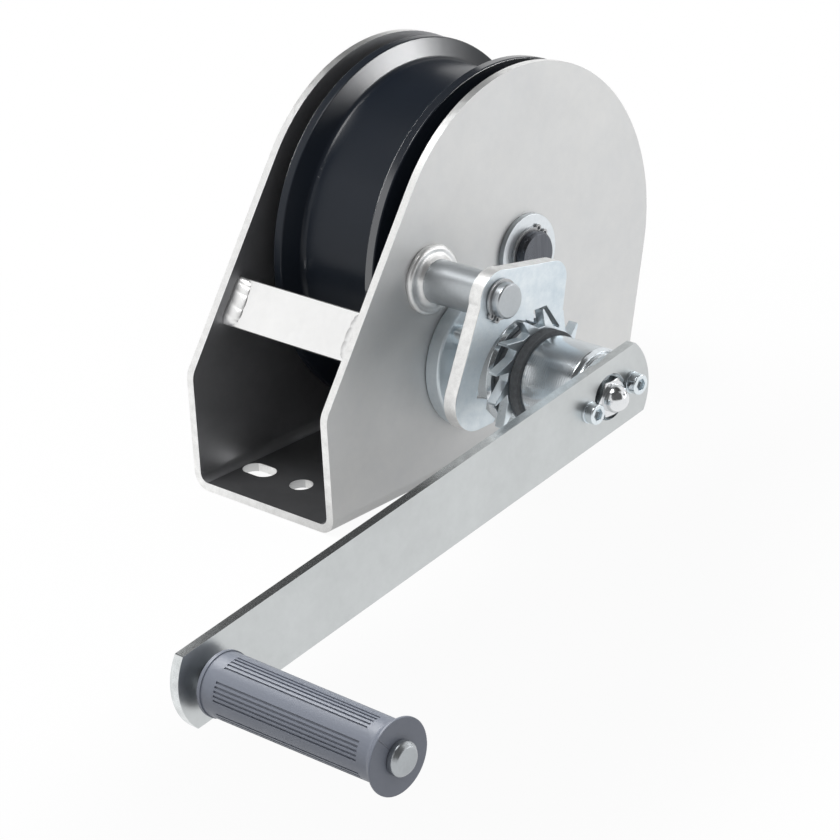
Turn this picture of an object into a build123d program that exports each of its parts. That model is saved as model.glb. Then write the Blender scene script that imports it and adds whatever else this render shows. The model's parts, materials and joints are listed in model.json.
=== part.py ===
from build123d import *
from math import acos, atan2, cos, degrees, hypot, pi, radians, sin, sqrt, tan
import os

# Hand-cranked wire rope winch: a bent sheet bracket carries a rope drum with an internal ring gear.
# A pinion shaft drives it from the crank side, through a screw-on crank hub that clamps a ratchet
# wheel between two friction discs, so that the load holds itself wherever the crank is let go.
#
# Millimetres, +Z up. The rope leaves towards -X and the crank is on the -Y side. The origin is on the
# base's underside, below the drum axle and midway between the side plates. A distance called "out"
# runs from that middle plane towards the crank, so a piece at out has Y = -out.

# Clearances
running_gap = 0.05      # radial, shaft in bush
seat_gap = 0.05         # radial, pieces fixed to each other
face_gap = 0.2          # axial, between faces that turn past each other
brake_gap = 0.1         # axial, released brake faces
mesh_gap = 0.35         # backlash along the pitch circle
drum_gap = 1.0          # drum flange to base

# Bracket
sheet = 4.0
bend_radius = 4.0
bracket_width = 88.0
crown_radius = 88.0
front_reach = 133.5     # axle to front edge
front_height = 56.0     # upright part of the front edge
front_corner_radius = 10.0
base_reach = 67.0       # axle to the base's back edge
base_hole_radius = 5.5
base_slot_length = 17.8
base_slot_offset = 26.8  # slot centre from the middle plane
hole_setback = 24.4     # hole rows from the base's front and back edges

# Cross bar
bar_width = 23.0
bar_thickness = 6.0
bar_inset = 6.6         # front face behind the plates' sloping edge
bar_rise = 38.6         # bar centre above the front corner, along the slope
bar_edge_round = 0.7
bar_weld_leg = 6.0       # along the bar
bar_weld_height = 4.0    # on the side plate
bar_weld_crest = (0.62, 0.7)  # shares of leg and height where the bead is fullest

# Drum
ring_wall = 4.0         # ring gear outside its teeth
shell_wall = 5.5
flange_height = 10.0    # above the core
flange_lean = 24.0      # degrees that the flanges' inner faces lean outwards
flange_thickness = 5.0  # at the edge
flange_root_share = 0.3  # root round as a share of the flange height
flange_rim_round = 0.8
drum_side_gap = 3.0     # shell end to side plate
shell_lip = 6.0         # shell past the near flange
web_thickness = 8.0
drum_hub_radius = 17.0
drum_hub_end_gap = 2.5  # hub end to side plate
drum_bush_length = 18.0
rope_hole_radius = 4.0
rope_hole_direction = 200.0  # degrees, seen from the axle
drum_joint_land = 1.0   # core surface between flange root and joint

# Drum axle
axle_radius = 11.0
axle_overhang = 8.0     # past the side plate
axle_chamfer = 1.2
axle_washer_radius = 18.3
axle_washer_thickness = 2.6
axle_clip_direction = 50.0  # degrees, gap of the retaining ring
circlip_thickness = 1.3
circlip_width = 2.0
circlip_eye_radius = 1.8
circlip_eye_hole = 0.8
circlip_eye_angle = 13.0  # degrees from the gap's middle
groove_depth = 0.8

# Gears
module = 2.0
ring_teeth = 66
pinion_teeth = 12
pressure_angle = 20.0
ring_addendum = 0.6     # gear heights are in modules
ring_dedendum = 1.0
pinion_addendum = 0.8
pinion_dedendum = 0.9
gear_width = 14.0
shaft_direction = 225.0  # seen from the axle, in the XZ plane

# Shaft bearing
bearing_washer_gap = 3.2  # flange rim to the axle's washer
bearing_flange_thickness = 8.2
bearing_rim_chamfer = 0.8
bearing_boss_length = 14.0
boss_screw_gap = 3.85   # screw heads to the boss
pilot_step = 3.0        # pilot larger than the boss, in radius
pilot_depth = 2.0       # past the plate's inner face
flange_screw_edge = 7.0  # screw centres from the rim
flange_screw_count = 4
flange_screw_radius = 3.0
flange_screw_head = 6.0
shaft_bush_length = 12.0

# Shaft and brake
shaft_step = 0.2         # journal below the pinion's root
thread_radius = 8.0
stud_radius = 5.0
bush_wall = 2.0
thrust_washer_thickness = 2.0
pressure_disc_thickness = 8.0
pressure_disc_radius = 26.0
friction_radius = 21.8
inner_friction_thickness = 3.0
outer_friction_thickness = 4.8
ratchet_teeth = 14
ratchet_tip_radius = 31.0
ratchet_root_radius = 23.0
ratchet_thickness = 5.0
ratchet_undercut = 4.0   # degrees that the locking flank leans back
ratchet_slope = 18.0     # degrees that the climbing flank takes
ratchet_tip_land = 2.0
ratchet_phase = 84.8
hub_radius = 20.2
hub_length = 28.1
hub_chamfer = 1.5
hub_seat_radius = 18.2
hub_seat_length = 2.3    # raised seat for the arm

# Crank
crank_radius = 248.0
crank_direction = 187.85  # seen from the shaft, in the XZ plane
arm_end_margin = 17.5    # handle pin to the end of the arm
arm_width = 34.0
arm_thickness = 4.6
arm_end_radius = 26.6
arm_corner_radius = 1.0
arm_hole_radius = 10.6
arm_screw_offset = 14.8
arm_screw_radius = 3.0
arm_screw_head = 4.2
arm_screw_depth = 12.0
lock_washer_thickness = 1.2
lock_washer_radius = 5.0
nut_washer_thickness = 1.5
nut_washer_radius = 9.0
nut_across_flats = 16.0
nut_hex_height = 4.5
nut_hex_chamfer = 0.9
nut_dome_radius = 6.3
nut_neck = 1.0           # between hexagon and dome
stud_reach = 6.5         # stud inside the nut

# Handle
pin_radius = 6.0
pin_collar_radius = 7.5
pin_collar_length = 5.4
pin_rivet_radius = 8.5
pin_rivet_height = 2.5
pin_head_radius = 7.1
pin_head_height = 4.5
pin_head_chamfer = 1.8
grip_length = 94.3
grip_lip_radius = 13.9
grip_lip_length = 2.2
grip_radius = 13.4       # at the lip
grip_waist_radius = 12.8  # at the flare
grip_flare_radius = 15.7
grip_flare_length = 4.0
grip_rim_thickness = 1.0
grip_rim_round = 0.3
grip_edge_round = 1.0
grip_root_round = 3.0
groove_groups = 6
grooves_per_group = 5
groove_width = 0.9
groove_sink = 0.7
groove_pitch = 8.0       # degrees
groove_phase = 40.0      # degrees, middle of one group
groove_start = 9.0       # from the arm end of the grip
groove_end = 9.8         # from the flared end of the grip

# Socket head screws, as shares of the screw's radius
screw_head_share = 1.55
screw_socket_share = 0.95
screw_chamfer_share = 0.13

# Pawl
pivot_x = -25.8          # from the shaft
pivot_z = 45.4
post_radius = 10.0
pawl_pin_radius = 8.0
pawl_pin_end = 5.7       # pin past the pawl
pawl_pin_chamfer = 0.6
pawl_clip_direction = 230.0
pawl_thickness = 7.0
pawl_boss_radius = 13.1
pawl_play = 0.8          # between pawl and ratchet teeth
pawl_corner_radius = 9.0
pawl_tail_radius = 14.5
post_weld_radius = 15.0
post_weld_crest = 0.62   # share of the leg where the bead is fullest
pawl_top_corner = (20.5, 49.8)   # outline points, from the shaft
pawl_nose = (13.4, 18.6)
pawl_notch = (4.2, 32.5)
pawl_notch_left = (-4.2, 32.8)
pawl_heel = (-4.4, 27.3)
pawl_throat = (-15.6, 32.0)
pawl_hollow_middle = (-36.8, 20.5)
pawl_hollow_end = (-43.4, 4.6)
pawl_toe_top = (-36.8, 2.2)
pawl_toe_notch = (-38.0, -2.3)
pawl_toe = (-32.2, -9.0)
pawl_toe_bottom = (-33.6, -10.5)
pawl_tail_corner = (-66.5, -10.5)

# Places that follow from the sizes above
half_width = bracket_width / 2
inner_half = half_width - sheet
ring_root_radius = module * (ring_teeth / 2 + ring_dedendum)
shell_inner_radius = ring_root_radius + ring_wall
core_radius = shell_inner_radius + shell_wall
flange_radius = core_radius + flange_height
axle_height = sheet + drum_gap + flange_radius
shaft_distance = module * (ring_teeth - pinion_teeth) / 2
shaft_x = shaft_distance * cos(radians(shaft_direction))
shaft_z = axle_height + shaft_distance * sin(radians(shaft_direction))
pawl_x = shaft_x + pivot_x
pawl_z = shaft_z + pivot_z
arm_reach = crank_radius + arm_end_margin
handle_x = shaft_x + crank_radius * cos(radians(crank_direction))
handle_z = shaft_z + crank_radius * sin(radians(crank_direction))

# Stack on the shaft, from the side plate outwards
flange_face_out = half_width + bearing_flange_thickness
boss_out = flange_face_out + bearing_boss_length
pressure_out = boss_out + thrust_washer_thickness + face_gap
inner_friction_out = pressure_out + pressure_disc_thickness
ratchet_out = inner_friction_out + inner_friction_thickness + brake_gap
outer_friction_out = ratchet_out + ratchet_thickness + brake_gap
hub_out = outer_friction_out + outer_friction_thickness
hub_face_out = hub_out + hub_length
arm_out = hub_face_out + hub_seat_length
nut_washer_out = arm_out + face_gap
nut_out = nut_washer_out + nut_washer_thickness
grip_out = arm_out + arm_thickness + pin_collar_length + face_gap
pawl_out = ratchet_out + (ratchet_thickness - pawl_thickness) / 2
pin_end_out = pawl_out + pawl_thickness + pawl_pin_end

# Shaft and its bearing, between the pinion and the axle's washer
pinion_root_radius = module * (pinion_teeth / 2 - pinion_dedendum)
shaft_radius = pinion_root_radius - shaft_step
shaft_bush_radius = shaft_radius + bush_wall
bearing_flange_radius = shaft_distance - axle_washer_radius - bearing_washer_gap
flange_screw_circle = bearing_flange_radius - flange_screw_edge
bearing_boss_radius = flange_screw_circle - screw_head_share * flange_screw_radius - boss_screw_gap
pilot_radius = bearing_boss_radius + pilot_step

# Drum section, from the side plate inwards
flange_rise = flange_height * tan(radians(flange_lean))
flange_root_radius = flange_root_share * flange_height
shell_end_out = inner_half - drum_side_gap
flange_out = shell_end_out - shell_lip - flange_thickness
root_out = flange_out - flange_rise
joint_out = root_out - flange_root_radius - drum_joint_land
gear_out = shell_end_out - gear_width
web_out = gear_out - web_thickness
hub_end_out = inner_half - drum_hub_end_gap
pilot_out = inner_half - pilot_depth


def side_plane(x, z, out, turn=0.0):
    """Plane at a distance out that faces the crank side, with its local X turned up from +X."""
    direction = (cos(radians(turn)), 0, sin(radians(turn)))
    return Plane(origin=(x, -out, z), x_dir=direction, z_dir=(0, -1, 0))


def section_plane(x, z):
    """Half-section of a turned piece: local X is out, local Y is the radius."""
    return Plane(origin=(x, 0, z), x_dir=(0, -1, 0), z_dir=(-1, 0, 0))


def turning_axis(x, z):
    return Axis((x, 0, z), (0, -1, 0))


def polar(radius, angle):
    return (radius * cos(radians(angle)), radius * sin(radians(angle)))


def crown_tangent(x, z, side):
    """Point where a line from (x, z) touches the crown circle round the axle."""
    reach = hypot(x, z - axle_height)
    angle = atan2(z - axle_height, x) + side * acos(crown_radius / reach)
    return (crown_radius * cos(angle), axle_height + crown_radius * sin(angle))


def ring(x, z, out, thickness, outer, inner):
    """Plain washer, disc or bush round an axis at (x, z)."""
    with BuildPart() as washer:
        with BuildSketch(side_plane(x, z, out)):
            Circle(outer)
            Circle(inner, mode=Mode.SUBTRACT)
        extrude(amount=thickness)
    return washer.part


def circlip(x, z, out, shaft, gap_direction):
    """Open retaining ring with two eyes, in a groove of the shaft."""
    inner = shaft - groove_depth + seat_gap
    outer = inner + circlip_width
    eye_reach = inner + circlip_eye_radius
    eyes = [polar(eye_reach, circlip_eye_angle), polar(eye_reach, -circlip_eye_angle)]
    gap = inner * sin(radians(circlip_eye_angle))
    with BuildPart() as clip:
        with BuildSketch(side_plane(x, z, out, gap_direction)):
            Circle(outer)
            with Locations(*eyes):
                Circle(circlip_eye_radius)
            Circle(inner, mode=Mode.SUBTRACT)
            with Locations((eye_reach, 0)):
                Rectangle(4 * circlip_eye_radius, gap, mode=Mode.SUBTRACT)
            with Locations(*eyes):
                Circle(circlip_eye_hole, mode=Mode.SUBTRACT)
        extrude(amount=circlip_thickness)
    return clip.part


def cap_screw(plane, radius, head_height, length):
    """Socket head cap screw whose head stands on the plane."""
    head_radius = screw_head_share * radius
    socket_depth = head_height / 2
    socket_radius = screw_socket_share * radius
    with BuildPart() as screw:
        with BuildSketch(plane):
            Circle(head_radius)
        extrude(amount=head_height)
        chamfer(screw.faces().sort_by(Axis.Y)[0].edges(), screw_chamfer_share * radius)
        with BuildSketch(plane.offset(head_height)):
            RegularPolygon(socket_radius, 6)
        extrude(amount=-socket_depth, mode=Mode.SUBTRACT)
        with BuildSketch(plane):
            Circle(radius - seat_gap)
        extrude(amount=-length)
    return screw.part


# Bracket: one sheet bent to a U, its two sides cut to the same outline
front_tangent = crown_tangent(-front_reach, front_height, -1)
back_tangent = crown_tangent(base_reach, 0, 1)
front_row = hole_setback - front_reach
back_row = base_reach - hole_setback
flange_screw_angles = [45 + 360 * k / flange_screw_count for k in range(flange_screw_count)]
flange_screw_points = [polar(flange_screw_circle, angle) for angle in flange_screw_angles]

with BuildPart() as bracket:
    with BuildSketch(Plane.YZ.offset(-front_reach)):
        Rectangle(bracket_width, 2 * axle_height, align=(Align.CENTER, Align.MIN))
        with Locations((0, sheet)):
            upright = (Align.CENTER, Align.MIN)
            Rectangle(2 * inner_half, 2 * axle_height, align=upright, mode=Mode.SUBTRACT)
        fillet(vertices().filter_by(lambda v: abs(v.Y) < seat_gap), bend_radius + sheet)
        fillet(vertices().filter_by(lambda v: abs(v.Y - sheet) < seat_gap), bend_radius)
    extrude(amount=front_reach + crown_radius)
    with BuildSketch(Plane.XZ.offset(-half_width)):
        with BuildLine():
            front_top = (-front_reach, front_height)
            Polyline(back_tangent, (base_reach, 0), (-front_reach, 0), front_top, front_tangent)
            ThreePointArc(front_tangent, (0, axle_height + crown_radius), back_tangent)
        make_face()
        front_corner = vertices().sort_by_distance(front_top)[0]
        fillet(front_corner, front_corner_radius)
    extrude(amount=bracket_width, mode=Mode.INTERSECT)
    with Locations(side_plane(0, axle_height, half_width)):
        Hole(axle_radius + seat_gap)
    with BuildSketch(side_plane(shaft_x, shaft_z, half_width)):
        Circle(pilot_radius)
        with Locations(*flange_screw_points):
            Circle(flange_screw_radius)
    extrude(amount=-sheet, mode=Mode.SUBTRACT)
    with BuildSketch():
        with Locations((front_row, 0), (back_row, 0)):
            Circle(base_hole_radius)
        slot_rows = [(x, y) for x in (front_row, back_row) for y in (-base_slot_offset, base_slot_offset)]
        with Locations(*slot_rows):
            SlotOverall(base_slot_length, 2 * base_hole_radius, rotation=90)
    extrude(amount=sheet, mode=Mode.SUBTRACT)

# Cross bar: a flat bar welded between the plates, along their sloping front edges
slope_length = hypot(front_tangent[0] + front_reach, front_tangent[1] - front_height)
slope_x = (front_tangent[0] + front_reach) / slope_length
slope_z = (front_tangent[1] - front_height) / slope_length
bar_centre = (
    -front_reach + bar_rise * slope_x + bar_inset * slope_z,
    0,
    front_height + bar_rise * slope_z - bar_inset * slope_x,
)
bar_plane = Plane(origin=bar_centre, x_dir=(0, 1, 0), z_dir=(-slope_z, 0, slope_x))

with BuildPart() as cross_bar:
    with BuildSketch(bar_plane):
        Rectangle(2 * inner_half, bar_width)
    extrude(amount=-bar_thickness)
    bar_edges = cross_bar.edges().filter_by(Axis.Y)
    fillet(bar_edges, bar_edge_round)

with BuildPart() as cross_bar_welds:
    weld_plane = Plane(origin=bar_centre, x_dir=(0, 1, 0), z_dir=bar_plane.y_dir)
    with BuildSketch(weld_plane.offset(-bar_width / 2)):
        for side in (-1, 1):
            corner = (side * inner_half, 0)
            on_bar = (side * (inner_half - bar_weld_leg), 0)
            crest_along = inner_half - bar_weld_leg * bar_weld_crest[0]
            crest = (side * crest_along, -bar_weld_height * bar_weld_crest[1])
            on_plate = (side * inner_half, -bar_weld_height)
            with BuildLine():
                Line(corner, on_bar)
                ThreePointArc(on_bar, crest, on_plate)
                Line(on_plate, corner)
            make_face()
    extrude(amount=bar_width)

# Drum axle, held by a washer and a retaining ring outside each plate
axle_end = half_width + axle_overhang
clip_out = half_width + axle_washer_thickness

with BuildPart() as drum_axle:
    with BuildSketch(side_plane(0, axle_height, -axle_end)):
        Circle(axle_radius)
    extrude(amount=2 * axle_end)
    chamfer(drum_axle.edges().filter_by(GeomType.CIRCLE), axle_chamfer)
    for groove_out in (clip_out, -clip_out - circlip_thickness):
        with BuildSketch(side_plane(0, axle_height, groove_out)):
            Circle(2 * axle_radius)
            Circle(axle_radius - groove_depth, mode=Mode.SUBTRACT)
        extrude(amount=circlip_thickness, mode=Mode.SUBTRACT)

with BuildPart() as axle_washers:
    for washer_out in (half_width, -clip_out):
        bore = axle_radius + seat_gap
        add(ring(0, axle_height, washer_out, axle_washer_thickness, axle_washer_radius, bore))

with BuildPart() as axle_circlips:
    for groove_out in (clip_out, -clip_out - circlip_thickness):
        add(circlip(0, axle_height, groove_out, axle_radius, axle_clip_direction))

spacer_thickness = drum_hub_end_gap - face_gap

with BuildPart() as drum_spacers:
    for spacer_out in (inner_half - spacer_thickness, -inner_half):
        add(ring(0, axle_height, spacer_out, spacer_thickness, drum_hub_radius, axle_radius + seat_gap))

# Drum: a core with a web behind the ring gear and a hub on two bushes, and a flange at each end
bush_outer_radius = axle_radius + bush_wall

with BuildPart() as drum_core:
    with BuildSketch(section_plane(0, axle_height)):
        with BuildLine():
            Polyline(
                (-joint_out, shell_inner_radius),
                (-joint_out, core_radius),
                (joint_out, core_radius),
                (joint_out, shell_inner_radius),
                (gear_out, shell_inner_radius),
                (gear_out, drum_hub_radius),
                (hub_end_out, drum_hub_radius),
                (hub_end_out, bush_outer_radius),
                (-hub_end_out, bush_outer_radius),
                (-hub_end_out, drum_hub_radius),
                (web_out, drum_hub_radius),
                (web_out, shell_inner_radius),
                close=True,
            )
        make_face()
    revolve(axis=turning_axis(0, axle_height))

with BuildPart() as near_flange:
    with BuildSketch(section_plane(0, axle_height)):
        with BuildLine():
            Polyline(
                (joint_out, shell_inner_radius),
                (joint_out, core_radius),
                (root_out, core_radius),
                (flange_out, flange_radius),
                (flange_out + flange_thickness, flange_radius),
                (flange_out + flange_thickness, core_radius),
                (shell_end_out, core_radius),
                (shell_end_out, shell_inner_radius),
                close=True,
            )
        make_face()
        fillet(vertices().sort_by_distance((root_out, core_radius))[0], flange_root_radius)
        fillet(vertices().filter_by(lambda v: abs(v.Y - flange_radius) < seat_gap), flange_rim_round)
    revolve(axis=turning_axis(0, axle_height))

with BuildPart() as far_flange:
    with BuildSketch(section_plane(0, axle_height)):
        with BuildLine():
            Polyline(
                (-joint_out, shell_inner_radius),
                (-joint_out, core_radius),
                (-root_out, core_radius),
                (-flange_out, flange_radius),
                (-flange_out - flange_thickness, flange_radius),
                (-flange_out - flange_thickness, shell_inner_radius),
                close=True,
            )
        make_face()
        fillet(vertices().sort_by_distance((-root_out, core_radius))[0], flange_root_radius)
        fillet(vertices().filter_by(lambda v: abs(v.Y - flange_radius) < seat_gap), flange_rim_round)
    revolve(axis=turning_axis(0, axle_height))
    with BuildSketch(side_plane(0, axle_height, -flange_out - flange_thickness)):
        with Locations(polar((core_radius + flange_radius) / 2, rope_hole_direction)):
            Circle(rope_hole_radius)
    extrude(amount=flange_thickness + flange_rise, mode=Mode.SUBTRACT)

with BuildPart() as drum_bushes:
    for bush_out in (hub_end_out - drum_bush_length, -hub_end_out):
        inner = axle_radius + running_gap
        add(ring(0, axle_height, bush_out, drum_bush_length, bush_outer_radius - seat_gap, inner))


# Ring gear and pinion: 20 degree stub teeth, in mesh on the line from axle to shaft
def involute(angle):
    return tan(angle) - angle


def half_angle(radius, teeth, thickness_change):
    """Half the angle, in degrees, of an involute tooth at a radius."""
    pitch_radius = module * teeth / 2
    base = pitch_radius * cos(radians(pressure_angle))
    local = acos(min(1.0, base / radius))
    at_pitch = (pi * module / 2 + thickness_change) / (2 * pitch_radius)
    return degrees(at_pitch + involute(radians(pressure_angle)) - involute(local))


ring_pitch_radius = module * ring_teeth / 2
ring_tip_radius = ring_pitch_radius - ring_addendum * module
pinion_pitch_radius = module * pinion_teeth / 2
pinion_tip_radius = pinion_pitch_radius + pinion_addendum * module
pinion_base_radius = pinion_pitch_radius * cos(radians(pressure_angle))

with BuildSketch() as ring_space:
    below_tip = ring_tip_radius - module
    tip_half = half_angle(ring_tip_radius, ring_teeth, mesh_gap / 2)
    root_half = half_angle(ring_root_radius, ring_teeth, mesh_gap / 2)
    with BuildLine():
        Polyline(
            polar(below_tip, tip_half),
            polar(ring_tip_radius, tip_half),
            polar(ring_root_radius, root_half),
            polar(ring_root_radius, -root_half),
            polar(ring_tip_radius, -tip_half),
            polar(below_tip, -tip_half),
            close=True,
        )
    make_face()

with BuildPart() as ring_gear:
    with BuildSketch(side_plane(0, axle_height, gear_out)):
        Circle(shell_inner_radius - seat_gap)
        Circle(ring_tip_radius, mode=Mode.SUBTRACT)
        with PolarLocations(0, ring_teeth, start_angle=shaft_direction):
            add(ring_space.sketch, mode=Mode.SUBTRACT)
    extrude(amount=gear_width)

with BuildSketch() as pinion_tooth:
    inside = pinion_root_radius - module / 2
    base_half = half_angle(pinion_base_radius, pinion_teeth, -mesh_gap / 2)
    pitch_half = half_angle(pinion_pitch_radius, pinion_teeth, -mesh_gap / 2)
    tip_half = half_angle(pinion_tip_radius, pinion_teeth, -mesh_gap / 2)
    with BuildLine():
        Polyline(
            polar(pinion_base_radius, -base_half),
            polar(inside, -base_half),
            polar(inside, base_half),
            polar(pinion_base_radius, base_half),
        )
        for side in (-1, 1):
            ThreePointArc(
                polar(pinion_base_radius, side * base_half),
                polar(pinion_pitch_radius, side * pitch_half),
                polar(pinion_tip_radius, side * tip_half),
            )
        Line(polar(pinion_tip_radius, -tip_half), polar(pinion_tip_radius, tip_half))
    make_face()

with BuildPart() as pinion_shaft:
    with BuildSketch(side_plane(shaft_x, shaft_z, gear_out)):
        Circle(pinion_root_radius)
        with PolarLocations(0, pinion_teeth, start_angle=shaft_direction):
            add(pinion_tooth.sketch)
    extrude(amount=gear_width)
    with BuildSketch(section_plane(shaft_x, shaft_z)):
        stud_end_out = nut_out + stud_reach
        with BuildLine():
            Polyline(
                (shell_end_out, 0),
                (shell_end_out, shaft_radius),
                (outer_friction_out, shaft_radius),
                (outer_friction_out, thread_radius),
                (nut_washer_out, thread_radius),
                (nut_washer_out, stud_radius),
                (stud_end_out, stud_radius),
                (stud_end_out, 0),
                close=True,
            )
        make_face()
    revolve(axis=turning_axis(shaft_x, shaft_z))

# Bearing flange, screwed to the near plate, with two bushes for the shaft
with BuildPart() as bearing_flange:
    with BuildSketch(section_plane(shaft_x, shaft_z)):
        with BuildLine():
            Polyline(
                (pilot_out, shaft_bush_radius),
                (pilot_out, pilot_radius - seat_gap),
                (half_width, pilot_radius - seat_gap),
                (half_width, bearing_flange_radius),
                (flange_face_out, bearing_flange_radius),
                (flange_face_out, bearing_boss_radius),
                (boss_out, bearing_boss_radius),
                (boss_out, shaft_bush_radius),
                close=True,
            )
        make_face()
    revolve(axis=turning_axis(shaft_x, shaft_z))
    rim_edges = bearing_flange.edges().filter_by(GeomType.CIRCLE)
    outer_rims = rim_edges.filter_by(lambda e: abs(e.radius - bearing_flange_radius) < seat_gap)
    chamfer(outer_rims, bearing_rim_chamfer)
    with BuildSketch(side_plane(shaft_x, shaft_z, half_width)):
        with Locations(*flange_screw_points):
            Circle(flange_screw_radius + seat_gap)
    extrude(amount=bearing_flange_thickness, mode=Mode.SUBTRACT)

with BuildPart() as bearing_screws:
    for dx, dz in flange_screw_points:
        place = side_plane(shaft_x + dx, shaft_z + dz, flange_face_out)
        add(cap_screw(place, flange_screw_radius, flange_screw_head, bearing_flange_thickness + sheet))

with BuildPart() as shaft_bushes:
    for bush_out in (pilot_out, boss_out - shaft_bush_length):
        outer = shaft_bush_radius - seat_gap
        add(ring(shaft_x, shaft_z, bush_out, shaft_bush_length, outer, shaft_radius + running_gap))

# Brake stack on the shaft
with BuildPart() as thrust_washer:
    washer_out = boss_out + face_gap
    bore = shaft_radius + seat_gap
    add(ring(shaft_x, shaft_z, washer_out, thrust_washer_thickness, bearing_boss_radius, bore))

with BuildPart() as inner_friction_disc:
    bore = shaft_bush_radius
    add(ring(shaft_x, shaft_z, inner_friction_out, inner_friction_thickness, friction_radius, bore))

with BuildPart() as outer_friction_disc:
    bore = thread_radius + bush_wall
    add(ring(shaft_x, shaft_z, outer_friction_out, outer_friction_thickness, friction_radius, bore))

with BuildPart() as ratchet_bush:
    outer = shaft_bush_radius - seat_gap
    add(ring(shaft_x, shaft_z, ratchet_out, ratchet_thickness, outer, shaft_radius + running_gap))

with BuildPart() as pressure_disc:
    bore = shaft_radius + seat_gap
    add(ring(shaft_x, shaft_z, pressure_out, pressure_disc_thickness, pressure_disc_radius, bore))
    disc_rim = pressure_disc.edges().filter_by(GeomType.CIRCLE)
    chamfer(disc_rim.filter_by(lambda e: abs(e.radius - pressure_disc_radius) < seat_gap), hub_chamfer)

ratchet_pitch = 360 / ratchet_teeth

with BuildSketch() as ratchet_profile:
    Circle(ratchet_tip_radius)
    tip = Vector(*polar(ratchet_tip_radius, 0))
    locking_root = Vector(*polar(ratchet_root_radius, -ratchet_undercut))
    climbing_root = Vector(*polar(ratchet_root_radius, ratchet_pitch - ratchet_slope - ratchet_tip_land))
    next_tip = Vector(*polar(ratchet_tip_radius, ratchet_pitch - ratchet_tip_land))
    past_tip = 1.1          # flanks drawn on past the tips, so that the gap cuts right through
    with BuildSketch(mode=Mode.PRIVATE) as tooth_gap:
        with BuildLine():
            Polyline(
                locking_root + (tip - locking_root) * past_tip,
                locking_root,
                climbing_root,
                climbing_root + (next_tip - climbing_root) * past_tip,
                close=True,
            )
        make_face()
    with PolarLocations(0, ratchet_teeth, start_angle=ratchet_phase):
        add(tooth_gap.sketch, mode=Mode.SUBTRACT)

with BuildPart() as ratchet_wheel:
    with BuildSketch(side_plane(shaft_x, shaft_z, ratchet_out)):
        add(ratchet_profile.sketch)
        Circle(shaft_bush_radius, mode=Mode.SUBTRACT)
    extrude(amount=ratchet_thickness)

# Pawl: an anchor plate whose nose locks the ratchet and whose tail is pushed out by the next teeth
with BuildPart() as pawl:
    with BuildSketch(side_plane(shaft_x, shaft_z, pawl_out)):
        boss_top = (pivot_x, pivot_z + pawl_boss_radius)
        boss_left = (pivot_x - pawl_boss_radius, pivot_z)
        with BuildLine():
            Polyline(boss_top, pawl_top_corner, pawl_nose, pawl_notch, pawl_notch_left)
            Polyline(pawl_notch_left, pawl_heel, pawl_throat)
            ThreePointArc(pawl_throat, pawl_hollow_middle, pawl_hollow_end)
            Polyline(pawl_hollow_end, pawl_toe_top, pawl_toe_notch, pawl_toe, pawl_toe_bottom)
            Polyline(pawl_toe_bottom, pawl_tail_corner, boss_left, boss_top)
        make_face()
        fillet(vertices().sort_by_distance(pawl_top_corner)[0], pawl_corner_radius)
        fillet(vertices().sort_by_distance(pawl_tail_corner)[0], pawl_tail_radius)
        with Locations((pivot_x, pivot_z)):
            Circle(pawl_boss_radius)
        with BuildSketch(mode=Mode.PRIVATE) as ratchet_room:
            add(ratchet_profile.sketch)
            offset(amount=pawl_play, kind=Kind.INTERSECTION)
        add(ratchet_room.sketch, mode=Mode.SUBTRACT)
        Circle(friction_radius + pawl_play / 2, mode=Mode.SUBTRACT)
        with Locations((pivot_x, pivot_z)):
            Circle(pawl_pin_radius + running_gap, mode=Mode.SUBTRACT)
    extrude(amount=pawl_thickness)

post_out = pawl_out - face_gap
pawl_clip_out = pawl_out + pawl_thickness + face_gap

with BuildPart() as pawl_post:
    with BuildSketch(section_plane(pawl_x, pawl_z)):
        with BuildLine():
            Polyline(
                (half_width, 0),
                (half_width, post_radius),
                (post_out, post_radius),
                (post_out, pawl_pin_radius),
                (pawl_clip_out, pawl_pin_radius),
                (pawl_clip_out, pawl_pin_radius - groove_depth),
                (pawl_clip_out + circlip_thickness, pawl_pin_radius - groove_depth),
                (pawl_clip_out + circlip_thickness, pawl_pin_radius),
                (pin_end_out - pawl_pin_chamfer, pawl_pin_radius),
                (pin_end_out, pawl_pin_radius - pawl_pin_chamfer),
                (pin_end_out, 0),
                close=True,
            )
        make_face()
    revolve(axis=turning_axis(pawl_x, pawl_z))

with BuildPart() as pawl_post_weld:
    with BuildSketch(section_plane(pawl_x, pawl_z)):
        weld_leg = post_weld_radius - post_radius
        weld_crest = weld_leg * post_weld_crest
        weld_inner = post_radius + seat_gap
        with BuildLine():
            Line((half_width, weld_inner), (half_width, post_weld_radius))
            ThreePointArc(
                (half_width, post_weld_radius),
                (half_width + weld_crest, post_radius + weld_crest),
                (half_width + weld_leg, weld_inner),
            )
            Line((half_width + weld_leg, weld_inner), (half_width, weld_inner))
        make_face()
    revolve(axis=turning_axis(pawl_x, pawl_z))

with BuildPart() as pawl_circlip:
    add(circlip(pawl_x, pawl_z, pawl_clip_out, pawl_pin_radius, pawl_clip_direction))

# Crank hub, arm and fasteners
screw_points = [(arm_screw_offset, 0), (-arm_screw_offset, 0)]

with BuildPart() as crank_hub:
    add(ring(shaft_x, shaft_z, hub_out, hub_length, hub_radius, thread_radius + running_gap))
    chamfer(crank_hub.faces().sort_by(Axis.Y)[0].edges().sort_by(SortBy.RADIUS)[-1], hub_chamfer)
    add(ring(shaft_x, shaft_z, hub_face_out, hub_seat_length, hub_seat_radius, thread_radius + running_gap))
    with BuildSketch(side_plane(shaft_x, shaft_z, arm_out, crank_direction)):
        with Locations(*screw_points):
            Circle(arm_screw_radius)
    extrude(amount=-arm_screw_depth, mode=Mode.SUBTRACT)

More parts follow.
